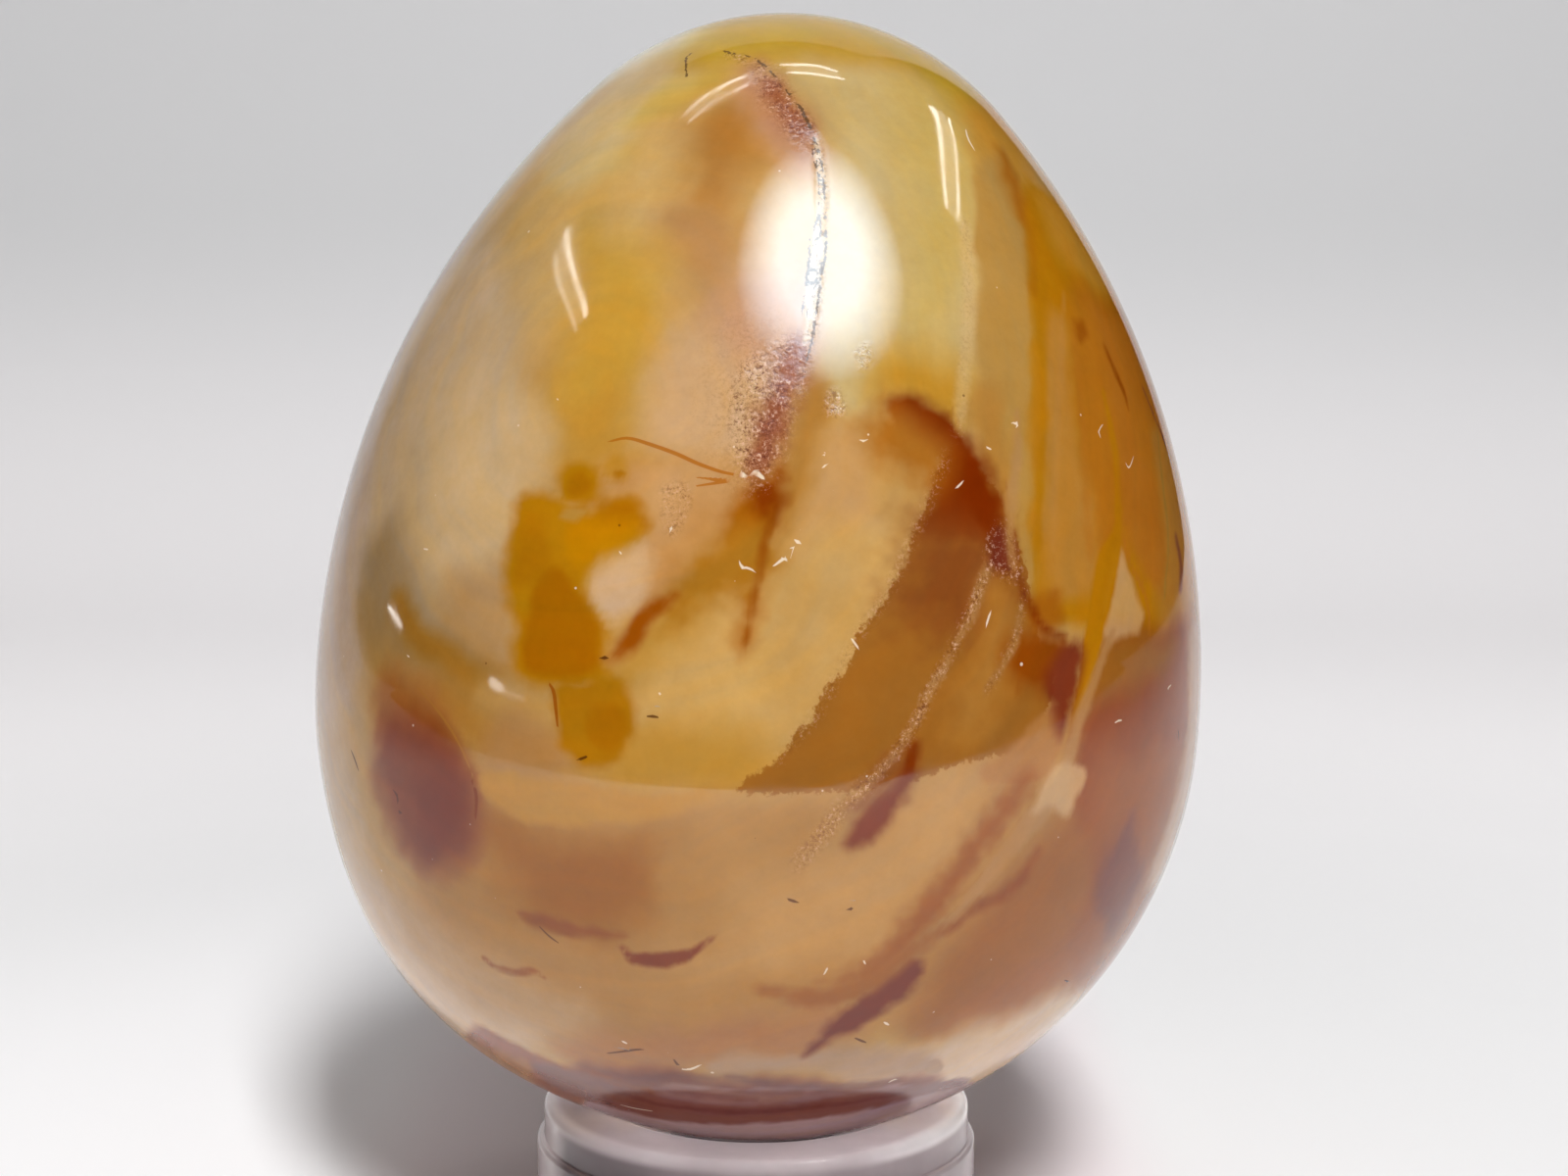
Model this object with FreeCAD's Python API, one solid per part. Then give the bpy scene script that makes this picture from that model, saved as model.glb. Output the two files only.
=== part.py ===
"""A polished stone egg standing in a clear plastic ring, blunt end down.

Millimetres, +Z up. The origin is on the floor, at the centre of the ring's underside.
The egg's blunt half is a hemisphere, so it sits in the ring's conical seat at any small lean.
"""

import FreeCAD
import Part

import math
import os

# Egg
egg_width = 50.0  # across the widest part
egg_height = 63.4  # from the blunt end to the small end
egg_crown_radius = 15.7  # round of the small end
egg_lean_degrees = 3.5  # how far the egg's axis leans towards +X in the ring

# Ring stand
stand_height = 10.0
stand_foot_radius = 12.7  # outside of the thick lower part
stand_collar_radius = 12.3  # outside of the slimmer rim above it
stand_collar_height = 2.2
stand_bore_radius = 7.5
seat_width = 1.5  # of the conical seat, measured outwards from the bore
seat_clearance = 0.1  # gap between the egg and its seat, square to the seat
rim_round = 0.5  # outer edge of the rim
rim_inner_round = 0.25  # where the flat rim turns down into the seat
shoulder_round = 0.2  # outer edge of the step between foot and collar
foot_round = 0.35  # edges that stand on the floor
bore_round = 0.3  # where the seat turns down into the bore

# Sizes that follow from those
egg_radius = egg_width / 2
seat_outer_radius = stand_bore_radius + seat_width
seat_contact_radius = stand_bore_radius + seat_width / 2
seat_angle = math.asin(seat_contact_radius / egg_radius)
seat_contact_height = stand_height - (seat_outer_radius - seat_contact_radius) * math.tan(seat_angle)
seat_inner_height = stand_height - seat_width * math.tan(seat_angle)
blunt_centre_height = seat_contact_height + (egg_radius + seat_clearance) * math.cos(seat_angle)

axis_up = FreeCAD.Vector(0, 0, 1)


def point(radius, height):
    """A point of a turned outline, in the XZ plane."""
    return FreeCAD.Vector(radius, 0, height)


def arc(centre, radius, start, end):
    """An arc about centre, with both angles counted up from the horizontal."""
    places = [
        centre + point(radius * math.cos(angle), radius * math.sin(angle))
        for angle in (start, (start + end) / 2, end)
    ]
    return Part.Arc(*places).toShape()


def rounded_outline(corners):
    """Closed wire through (radius, height, round) corners, each round one a tangent arc."""
    runs = []
    for number, (radius, height, fillet) in enumerate(corners):
        here = point(radius, height)
        before = point(*corners[number - 1][:2])
        after = point(*corners[(number + 1) % len(corners)][:2])
        towards_before = (before - here).normalize()
        towards_after = (after - here).normalize()
        half_angle = towards_before.getAngle(towards_after) / 2
        if fillet == 0:
            runs.append((here, None, here))
            continue
        reach = fillet / math.tan(half_angle)
        inwards = (towards_before + towards_after).normalize()
        middle = here + inwards * (fillet / math.sin(half_angle) - fillet)
        runs.append((here + towards_before * reach, middle, here + towards_after * reach))
    edges = []
    for number, (start, middle, end) in enumerate(runs):
        if middle is not None:
            edges.append(Part.Arc(start, middle, end).toShape())
        edges.append(Part.LineSegment(end, runs[(number + 1) % len(runs)][0]).toShape())
    return Part.Wire(edges)


def turned(wire):
    """The solid that a closed outline sweeps in a full turn about the Z axis."""
    return Part.Face(wire).revolve(FreeCAD.Vector(), axis_up, 360)


def make_stone_egg():
    """Hemisphere below, one flank arc above it and a round crown, all tangent, leaning in the ring."""
    crown_centre_height = egg_height - egg_radius - egg_crown_radius
    flank_radius = (crown_centre_height**2 + egg_radius**2 - egg_crown_radius**2) / (
        2 * (egg_radius - egg_crown_radius)
    )
    flank_centre = point(egg_radius - flank_radius, 0)
    crown_angle = math.atan2(crown_centre_height, flank_radius - egg_radius)
    crown_centre = point(0, crown_centre_height)
    blunt_end = point(0, -egg_radius)
    small_end = point(0, egg_height - egg_radius)
    outline = Part.Wire(
        [
            arc(point(0, 0), egg_radius, -math.pi / 2, 0),
            arc(flank_centre, flank_radius, 0, crown_angle),
            arc(crown_centre, egg_crown_radius, crown_angle, math.pi / 2),
            Part.LineSegment(small_end, blunt_end).toShape(),
        ]
    )
    egg = turned(outline)
    egg.rotate(FreeCAD.Vector(), FreeCAD.Vector(0, 1, 0), egg_lean_degrees)
    egg.translate(axis_up * blunt_centre_height)
    return egg


def make_ring_stand():
    """Stepped ring with a straight bore and a conical seat that the egg's blunt half touches."""
    shoulder_height = stand_height - stand_collar_height
    return turned(
        rounded_outline(
            [
                (stand_bore_radius, 0, foot_round),
                (stand_foot_radius, 0, foot_round),
                (stand_foot_radius, shoulder_height, shoulder_round),
                (stand_collar_radius, shoulder_height, 0),
                (stand_collar_radius, stand_height, rim_round),
                (seat_outer_radius, stand_height, rim_inner_round),
                (stand_bore_radius, seat_inner_height, bore_round),
            ]
        )
    )


nodes = {
    "stone_egg": make_stone_egg(),
    "ring_stand": make_ring_stand(),
}

os.makedirs("parts", exist_ok=True)
for name, shape in nodes.items():
    shape.exportStep(f"parts/{name}.step")
    box = shape.BoundBox
    print(
        f"{name}: {shape.ShapeType}, valid {shape.isValid()}, {shape.Volume / 1000:.2f} cm3, "
        f"X {box.XMin:.2f} to {box.XMax:.2f}, Y {box.YMin:.2f} to {box.YMax:.2f}, "
        f"Z {box.ZMin:.2f} to {box.ZMax:.2f}"
    )
print(f"least gap between egg and ring: {nodes['stone_egg'].distToShape(nodes['ring_stand'])[0]:.3f} mm")
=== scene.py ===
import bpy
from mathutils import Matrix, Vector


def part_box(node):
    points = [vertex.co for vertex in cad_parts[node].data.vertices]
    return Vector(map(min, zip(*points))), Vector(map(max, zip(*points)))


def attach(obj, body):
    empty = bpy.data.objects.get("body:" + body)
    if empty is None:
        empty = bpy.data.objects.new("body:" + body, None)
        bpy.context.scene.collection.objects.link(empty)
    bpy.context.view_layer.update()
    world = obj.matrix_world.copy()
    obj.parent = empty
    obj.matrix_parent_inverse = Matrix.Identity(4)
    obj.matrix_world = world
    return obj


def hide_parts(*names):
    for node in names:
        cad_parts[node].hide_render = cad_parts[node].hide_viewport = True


bl_info = {
    "name": "Agate Egg on Ring Stand",
    "version": (1, 0, 0),
    "blender": (4, 5, 0),
    "location": "View3D > Sidebar > Agate Egg",
    "description": "Adds a polished agate egg, the clear ring it stands in and a pale studio",
    "category": "Add Mesh",
}

import math
from collections import namedtuple

import bpy
import numpy as np
from bpy.props import FloatProperty, FloatVectorProperty, IntProperty, PointerProperty
from bpy.types import Operator, Panel, PropertyGroup
from mathutils import Matrix

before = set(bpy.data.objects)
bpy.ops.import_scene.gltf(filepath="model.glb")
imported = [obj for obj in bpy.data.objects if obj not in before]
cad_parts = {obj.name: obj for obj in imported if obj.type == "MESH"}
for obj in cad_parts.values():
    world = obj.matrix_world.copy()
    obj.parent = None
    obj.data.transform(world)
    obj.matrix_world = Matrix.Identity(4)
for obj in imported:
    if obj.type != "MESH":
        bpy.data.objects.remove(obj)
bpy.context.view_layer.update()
EGG_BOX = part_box("stone_egg")
RING_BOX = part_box("ring_stand")

MM = 0.001
PIXELS_PER_MM = 18.1  # of the photograph, on the egg's front
PHOTO_CENTRE = np.array([800.0, 600.0])
PHOTO_WIDTH = 1600.0
SENSOR_WIDTH = 36.0
MIRROR_DISTANCE = 0.3  # metres from the stone to the lamps that it mirrors


def length(name, description, default_mm):
    """A length property whose default is given in millimetres."""
    return FloatProperty(name=name, description=description, default=default_mm * MM, unit="LENGTH")


def angle(name, description, degrees):
    """An angle property whose default is given in degrees."""
    return FloatProperty(name=name, description=description, default=math.radians(degrees), subtype="ANGLE")


def amount(name, description, default):
    """A plain number that is never below nothing."""
    return FloatProperty(name=name, description=description, default=default, min=0)


def count(name, description, default):
    """A number of mesh rows or columns."""
    return IntProperty(name=name, description=description, default=default, min=8)


def shade(name, description, red, green, blue):
    """A colour property whose default is given as display values from 0 to 255."""
    return FloatVectorProperty(
        name=name,
        description=description,
        default=(red / 255, green / 255, blue / 255),
        subtype="COLOR_GAMMA",
        min=0,
        max=1,
    )


def tint(name, description, *light):
    """A colour property whose default is given as amounts of light from 0 to 1."""
    return FloatVectorProperty(
        name=name, description=description, default=light, subtype="COLOR", min=0, max=1
    )


class EggSizes(PropertyGroup):
    """Sizes of the egg that its box does not give."""

    crown_radius: length("Crown radius", "Round of the small end", 15.7)
    lean: angle("Lean", "Lean of the egg's axis towards +X", 3.5)
    heel_bulge: length("Heel bulge", "Hand-ground fullness low on the left of the front", 0.55)
    fissure_depth: length("Fissure depth", "Depth of the open seam down the front", 0.06)
    druse_relief: length("Druse relief", "Depth of the hollows between the tiny crystals", 0.03)
    rows: count("Rows", "Mesh rows from end to end", 250)
    front_columns: count("Front columns", "Mesh columns round the front", 288)
    back_columns: count("Back columns", "Mesh columns round the back", 110)


class RingSizes(PropertyGroup):
    """Sizes of the ring stand that its box does not give."""

    collar_radius: length("Collar radius", "Outside of the slimmer rim", 12.3)
    collar_height: length("Collar height", "Height of the slimmer rim", 2.2)
    bore_radius: length("Bore radius", "Inside of the ring", 7.5)
    seat_width: length("Seat width", "Conical seat, measured outwards from the bore", 1.5)
    rim_round: length("Rim round", "Outer edge of the rim", 0.5)
    small_round: length("Small round", "Every other edge", 0.25)
    columns: count("Columns", "Mesh columns round the ring", 256)


class RingColours(PropertyGroup):
    """Colours of the ring's milky plastic, with painted shade and painted highlights among them."""

    # Painted shade and light: the wall and rim are darker on the left, away from the lamps, and paler to the
    # right and on the rim's top.
    shaded_wall_left: tint("Wall left", "Dark left side of the wall", 0.19, 0.155, 0.165)
    lit_wall_right: tint("Wall right", "Paler right side of the wall", 0.42, 0.36, 0.37)
    # Painted highlight: the wall's left edge made paler, where light glints through it.
    wall_edge_glint: tint("Wall edge", "Left edge of the wall", 0.6, 0.53, 0.54)
    shaded_rim_left: tint("Rim left", "Dark left end of the rim", 0.36, 0.31, 0.315)
    rim: tint("Rim", "The rest of the rim", 0.74, 0.66, 0.675)
    # Painted highlights: the rim's outer edge made paler where it would catch the light.
    rim_arc_highlights: tint("Rim arcs", "Light caught by the rim's outer edge", 0.97, 0.9, 0.92)


class StoneColours(PropertyGroup):
    """Colours of the agate under a plain white light, with a few painted sheens, highlights and reflections
    among them.
    """

    honey: shade("Honey", "Body of the stone where nothing else shows", 193, 147, 81)
    crown: shade("Crown", "Olive yellow of the small end", 197, 158, 49)
    straw: shade("Straw", "Translucent band right of the seam", 200, 171, 112)
    amber_yellow: shade("Amber yellow", "Yellow amber bleeding between bands", 196, 139, 49)
    ochre: shade("Ochre", "Upper left shoulder", 210, 169, 104)
    mustard: shade("Mustard", "Yellow flecks on the shoulder", 207, 167, 71)
    pale_straw: shade("Pale straw", "Thin pale skin of the shoulder", 236, 225, 195)
    copper: shade("Copper", "Orange-brown flecks by the seam", 172, 114, 49)
    biscuit: shade("Biscuit", "Pink-brown cloud by the highlight", 186, 134, 79)
    pale_peach: shade("Pale peach", "Milky field left of the seam", 205, 163, 116)
    gold: shade("Gold", "Clear golden column", 203, 153, 56)
    beige: shade("Beige", "Cloudy left flank", 200, 167, 122)
    light_beige: shade("Light beige", "Milky heart of the flank", 215, 180, 132)
    umber: shade("Umber", "Shaded edge of the flank", 216, 182, 141)
    pink_beige: shade("Pink beige", "Blush low on the flank", 188, 145, 93)
    olive_grey: shade("Olive grey", "Dull olive low on the flank", 147, 116, 76)
    olive: shade("Olive", "Dark translucent smear", 167, 113, 35)
    amber_tan: shade("Amber tan", "Tan with amber in it", 177, 122, 50)
    cream_tan: shade("Cream tan", "Cream veins and pockets", 179, 129, 77)
    pink_tan: shade("Pink tan", "Waist under the seam", 196, 142, 82)
    cream_yellow: shade("Cream yellow", "Bright flesh left of the crystal edge", 201, 157, 91)
    butter: shade("Butter", "Brightest flesh", 205, 161, 92)
    olive_tan: shade("Olive tan", "Flesh under the highlight", 196, 149, 93)
    low_gold: shade("Low gold", "Gold at the foot of the flesh", 189, 139, 56)
    foot_gold: shade("Foot gold", "Gold foot of the straw band", 191, 134, 32)
    tan: shade("Tan", "Strip right of the straw band", 183, 139, 69)
    amber: shade("Amber", "Clear amber of the right side", 182, 118, 10)
    side_copper: shade("Side copper", "Orange-brown edge of the right side", 163, 93, 16)
    burnt: shade("Burnt", "Burnt orange of the right side", 181, 110, 31)
    streak_tan: shade("Streak tan", "Tan streaks of the right side", 187, 130, 56)
    streak_pale: shade("Streak pale", "Pale streak beside the crystals", 182, 134, 81)
    peach: shade("Peach", "Milky orange belly", 179, 128, 67)
    russet: shade("Russet", "Orange-brown cloud of the belly", 155, 91, 19)
    peach_tan: shade("Peach tan", "Middle of the belly", 176, 125, 62)
    light_peach: shade("Light peach", "Light fields of the belly", 194, 143, 81)
    heel_cream: shade("Heel cream", "Cream of the left heel", 192, 149, 100)
    rose_tan: shade("Rose tan", "Rose fields near the blunt end", 173, 114, 71)
    brown: shade("Brown", "Brown field right of the belly", 158, 94, 36)
    haunch: shade("Haunch", "Red-brown lower right side", 144, 67, 14)
    rose: shade("Rose", "Grey-rose edge of the lower right", 164, 95, 45)
    # Cream of the right heel, and also the painted highlight along the lower left edge.
    cream_and_edge_highlight: shade("Pale cream", "Bright cream of the right heel", 216, 182, 150)
    heel_rose: shade("Heel rose", "Dull rose band near the blunt end", 178, 142, 114)
    mauve: shade("Mauve", "Grey-mauve near the blunt end", 108, 44, 34)
    toffee: shade("Toffee", "Clear brown lens", 157, 100, 35)
    plum: shade("Plum", "Purple oval on the left", 127, 50, 19)
    oval_brown: shade("Oval brown", "Brown cap of the oval", 161, 95, 41)
    cream_arc: shade("Cream arc", "Cream arc over the belly", 189, 135, 59)
    wine: shade("Wine", "Dark red band near the blunt end", 120, 68, 60)
    deep_wine: shade("Deep wine", "Heart of the dark band", 106, 54, 48)
    heather: shade("Heather", "Mauve ground of the fine crystals", 156, 87, 53)
    maroon: shade("Maroon", "Dark red caps and lenses", 122, 41, 2)
    plum_brown: shade("Plum brown", "Purple-brown haze in the lens", 133, 70, 28)
    brown_red: shade("Brown red", "Haze round the low lens", 142, 80, 35)
    purple: shade("Purple", "Purple lenses", 109, 35, 23)
    haunch_purple: shade("Haunch purple", "Grey-purple marks of the right edge", 127, 67, 54)
    drop: shade("Drop", "Amber drops", 184, 124, 11)
    lower_drop: shade("Lower drop", "Lowest amber drop", 176, 116, 13)
    deep_drop: shade("Deep drop", "Thick parts of the drops", 171, 103, 4)
    bright_drop: shade("Bright drop", "Thin parts of the drops", 195, 128, 4)
    milky: shade("Milky", "Milky inclusion beside the drops", 212, 172, 129)
    wedge: shade("Wedge", "Orange wedge under the seam", 167, 96, 12)
    wedge_amber: shade("Wedge amber", "Amber round the wedge", 164, 103, 13)
    burnt_orange: shade("Burnt orange", "Burnt orange patches", 142, 68, 7)
    rose_peach: shade("Rose peach", "Rose pocket beside the vein", 179, 122, 67)
    russet_deep: shade("Russet deep", "Long russet sweep", 148, 75, 22)
    red_brown: shade("Red brown", "Red-brown tongues", 138, 64, 16)
    stroke_red: shade("Stroke red", "Brush stroke of red", 131, 56, 21)
    seam_cream: shade("Seam cream", "Filling of the open seam", 222, 196, 160)
    fringe: shade("Fringe", "Crystalline fringe of the straw band", 211, 176, 121)
    crystal: shade("Crystal", "Lines of pale crystals", 180, 134, 88)
    side_purple: shade("Side purple", "Purple crystals on the right side", 122, 44, 23)
    olive_line: shade("Olive line", "Olive hairline of the right edge", 157, 121, 49)
    red_amber: shade("Red amber", "Red tongue beside the drops", 153, 75, 3)
    maroon_red: shade("Maroon red", "Hearts of the red marks", 127, 50, 3)
    curve_orange: shade("Curve orange", "Orange curves under the field", 179, 103, 19)
    mauve_dark: shade("Mauve dark", "Dark lines in the mauve", 101, 52, 50)
    grain_pale: shade("Grain pale", "Pale faces of the fine crystals", 224, 180, 150)
    grain_dark: shade("Grain dark", "Gaps between the fine crystals", 104, 46, 28)
    hair_pale: shade("Hair pale", "Pale dust and scratches", 246, 226, 200)
    crack: shade("Crack", "Lips of the open seam", 92, 64, 40)
    hair_dark: shade("Hair dark", "Dark dust and cracks", 84, 36, 10)
    # Partly painted light: rose haze by the seam that also stands in for the soft box highlight's pale halo,
    # and the painted sheen along the upper right edge.
    haze_halo_and_sheen_pink: shade("Haze pink", "Rose haze beside the seam", 200, 148, 120)
    # Painted sheen: this pale rosy edge stands in for the light that the stone mirrors along its left and
    # right edges.
    rim_sheen_pink: shade("Rim pink", "Pale rosy skin of the left edge", 214, 184, 162)
    # Painted reflection: the dark floor under the ring as mirrored in the stone's blunt end.
    reflection_dusk: shade("Dusk", "Grey-rose band over the dark one", 144, 104, 101)
    # Painted reflection: this grey-lilac stands in for the ring's rim mirrored in the stone's blunt end.
    lilac: shade("Lilac", "Grey-lilac skin at the blunt end", 166, 132, 134)


class StudioSettings(PropertyGroup):
    """Camera and light of the studio."""

    camera_place: FloatVectorProperty(
        name="Camera place",
        description="Where the camera stands",
        default=(1.39 * MM, -165.5 * MM, 62.72 * MM),
        unit="LENGTH",
        subtype="TRANSLATION",
    )
    camera_yaw: angle("Yaw", "Turn of the camera to the right", 0.022)
    camera_pitch: angle("Pitch", "Tilt of the camera downwards", 7.929)
    camera_roll: angle("Roll", "Clockwise turn of the picture", 0.312)
    lens: amount("Lens", "Focal length in millimetres", 67.5)
    room_light: amount("Room light", "Strength of the even light", 0.05)
    room_seen: amount("Room seen", "Brightness of the room past the sweep", 0.66)
    box_power: amount("Box power", "Power of the soft box that the stone mirrors", 2.15)
    key_power: amount("Key power", "Power of the lamp that lights only the stone", 0.72)
    key_aside: angle("Key aside", "Turn of the stone's and the paper's lamps to the right", 10)
    key_climb: angle("Key climb", "Climb of the stone's and the paper's lamps", 44)
    paper_power: amount("Paper power", "Power of the lamp that lights only the paper", 4.85)
    ring_power: amount("Ring power", "Power of the lamp that lights only the ring", 0.42)
    ring_aside: angle("Ring aside", "Turn of the ring's lamp to the right", 55)
    ring_climb: angle("Ring climb", "Climb of the ring's lamp", 66)
    room_colour: tint("Room colour", "Colour of the even light", 1, 0.96, 0.965)
    box_colour: tint("Box colour", "Colour of the soft box", 0.68, 0.85, 1)
    strip_colour: tint("Strip colour", "Colour of the lamp strips", 1, 0.97, 0.93)
    glow_colour: tint("Glow colour", "Colour of the paper's glow", 1, 0.91, 0.925)
    sweep_colour: shade("Sweep", "Paper of the floor and backdrop", 236, 236, 237)


# Camera geometry

def studio():
    return bpy.context.scene.egg_studio


def camera_axes():
    """Right, up and forward of the camera, from its yaw, pitch and roll."""
    settings = studio()
    yaw, pitch, roll = settings.camera_yaw, settings.camera_pitch, settings.camera_roll
    forward = np.array(
        [math.sin(yaw) * math.cos(pitch), math.cos(yaw) * math.cos(pitch), -math.sin(pitch)]
    )
    level_right = np.array([math.cos(yaw), -math.sin(yaw), 0.0])
    level_up = np.cross(level_right, forward)
    right = level_right * math.cos(roll) + level_up * math.sin(roll)
    up = level_up * math.cos(roll) - level_right * math.sin(roll)
    return right, up, forward


def pixel_rays(pixels):
    """Start and unit directions of the lines of sight through pixels of the photograph."""
    right, up, forward = camera_axes()
    focal = studio().lens / SENSOR_WIDTH * PHOTO_WIDTH
    off = (np.asarray(pixels, float) - PHOTO_CENTRE) / focal
    rays = forward + off[:, :1] * right - off[:, 1:] * up
    return np.array(studio().camera_place), rays / np.linalg.norm(rays, axis=1, keepdims=True)


# Egg geometry

class EggForm:
    """The turned outline: a hemisphere below, a flank arc above it and a round crown, all tangent."""

    def __init__(self):
        sizes = bpy.context.scene.egg_sizes
        low, high = EGG_BOX
        self.lean = sizes.lean
        self.radius = (high.y - low.y) / 2
        self.crown = sizes.crown_radius
        self.centre = np.array([0.0, 0.0, low.z + self.radius])
        self.crown_height = (high.z - self.crown - self.centre[2]) / math.cos(self.lean)
        spare = self.radius - self.crown
        self.flank = (self.crown_height**2 + self.radius**2 - self.crown**2) / (2 * spare)
        self.crown_angle = math.atan2(self.crown_height, self.flank - self.radius)
        self.lengths = np.cumsum(
            [
                self.radius * math.pi / 2,
                self.flank * self.crown_angle,
                self.crown * (math.pi / 2 - self.crown_angle),
            ]
        )
        cos, sin = math.cos(self.lean), math.sin(self.lean)
        self.turn = np.array([[cos, 0, sin], [0, 1, 0], [-sin, 0, cos]])

    def outline(self, along):
        """Radius, height and slope of the outline at arc lengths counted up from the blunt end."""
        first, second, _ = self.lengths
        low = along / self.radius - math.pi / 2
        middle = (along - first) / self.flank
        high = self.crown_angle + (along - second) / self.crown
        in_low, in_high = along < first, along > second
        slope = np.where(in_low, low, np.where(in_high, high, middle))
        arc = np.where(in_low, self.radius, np.where(in_high, self.crown, self.flank))
        offset = np.where(in_low | in_high, 0, self.radius - self.flank)
        lift = np.where(in_high, self.crown_height, 0)
        return offset + arc * np.cos(slope), lift + arc * np.sin(slope), slope

    def place(self, local):
        return local @ self.turn.T + self.centre

    def distance(self, points):
        """Distance of points from the surface, taken from the arc whose sector holds each of them."""
        local = (points - self.centre) @ self.turn
        out, up = np.hypot(local[:, 0], local[:, 1]), local[:, 2]
        low = np.hypot(out, up) - self.radius
        middle = np.hypot(out - (self.radius - self.flank), up) - self.flank
        high = np.hypot(out, up - self.crown_height) - self.crown
        bearing = np.arctan2(up, out - (self.radius - self.flank))
        return np.where(up < 0, low, np.where(bearing > self.crown_angle, high, middle))

    def seen_at(self, pixels):
        """Points of the surface under pixels of the photograph, and by how far the sight lines miss it."""
        start, rays = pixel_rays(pixels)
        reached = np.full(len(rays), np.linalg.norm(start - self.centre) - 2 * self.radius)
        nearest = np.full(len(rays), 1.0)
        held = reached.copy()
        steps = 60
        for _ in range(steps):
            gap = self.distance(start + rays * reached[:, None])
            closer = gap < nearest
            nearest = np.where(closer, gap, nearest)
            held = np.where(closer, reached, held)
            reached = reached + gap
        return start + rays * held[:, None], np.maximum(nearest, 0)


class Chart:
    """A flat map of the stone: angle away from the camera, times a mean radius, folded over at its outline.

    The back is folded like a mirror image, so bands run on round the edge of the stone. Behind the edge the
    map turns about its middle and wanders, more and more, so that the back doesn't repeat the front.
    """

    radius = 27.0  # in millimetres
    twist = 1.2  # radians of turn for each radian behind the edge
    wander_size, wander_reach = 18.0, 3.5  # millimetres of the back's wander
    wander_depth = 0.7  # radians behind the edge at which the wander is whole

    def __init__(self, form):
        self.form = form
        self.heart = form.centre + np.array([0, 0, 5 * MM])
        towards = np.array(studio().camera_place) - self.heart
        self.towards = towards / np.linalg.norm(towards)
        right = np.cross(-self.towards, [0, 0, 1])
        self.right = right / np.linalg.norm(right)
        self.up = np.cross(self.right, -self.towards)

    def flatten(self, points):
        """Map places in millimetres, and 1 for the front or 0 for the back."""
        away = points - self.heart
        away = away / np.linalg.norm(away, axis=1, keepdims=True)
        cos = away @ self.towards
        across, upward = away @ self.right, away @ self.up
        bearing = np.arccos(np.clip(np.abs(cos), 0, 1))
        scale = self.radius * bearing / np.maximum(np.hypot(across, upward), 1e-9)
        behind = np.where(cos < 0, math.pi / 2 - bearing, 0)
        twist = self.twist * behind
        across, upward = (
            (across * np.cos(twist) - upward * np.sin(twist)) * scale,
            (across * np.sin(twist) + upward * np.cos(twist)) * scale,
        )
        flat = np.stack([across, upward], 1)
        wander = drift(flat, self.wander_size, self.wander_reach, 9) - flat
        flat += wander * np.clip(behind / self.wander_depth, 0, 1)[:, None]
        return flat, np.where(cos >= 0, 1.0, 0.0)

    def of_pixels(self, pixels):
        """Map places of photograph pixels; one beside the stone lands as far past its edge."""
        points, missed = self.form.seen_at(pixels)
        flat, _ = self.flatten(points)
        outwards = flat / np.maximum(np.linalg.norm(flat, axis=1, keepdims=True), 1e-9)
        return flat + outwards * (missed / MM)[:, None]


# Markings of the stone

Mark = namedtuple("Mark", "name colour strength edge width path jag")


def patch(name, colour, strength, edge, path, jag=0.0):
    """A closed smooth area. Its path and the softness of its edge are in photograph pixels, its jag in mm."""
    return Mark(name, colour, strength, edge, None, path, jag)


def stroke(name, colour, strength, edge, width, path, jag=0.0):
    """A smooth line. A width given as a list is spread evenly along it."""
    return Mark(name, colour, strength, edge, width, path, jag)


def pixels_of(path):
    """The photograph pixels that a path of "x,y" pairs goes through."""
    return np.array([pair.split(",") for pair in path.split()], float)


def smooth_path(points, closed, steps=8):
    """Catmull-Rom curve: each span is the cubic through its two points, steered by their neighbours."""
    if closed:
        ring = np.concatenate([points[-1:], points, points[:2]])
    else:
        ring = np.concatenate([2 * points[:1] - points[1:2], points, 2 * points[-1:] - points[-2:-1]])
    share = np.linspace(0, 1, steps, endpoint=False)[:, None, None]
    a, b, c, d = ring[:-3], ring[1:-2], ring[2:-1], ring[3:]
    curve = b + 0.5 * share * (c - a + share * (2 * a - 5 * b + 4 * c - d + share * (3 * (b - c) + d - a)))
    curve = curve.transpose(1, 0, 2).reshape(-1, points.shape[1])
    return curve if closed else np.concatenate([curve, points[-1:]])


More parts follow.
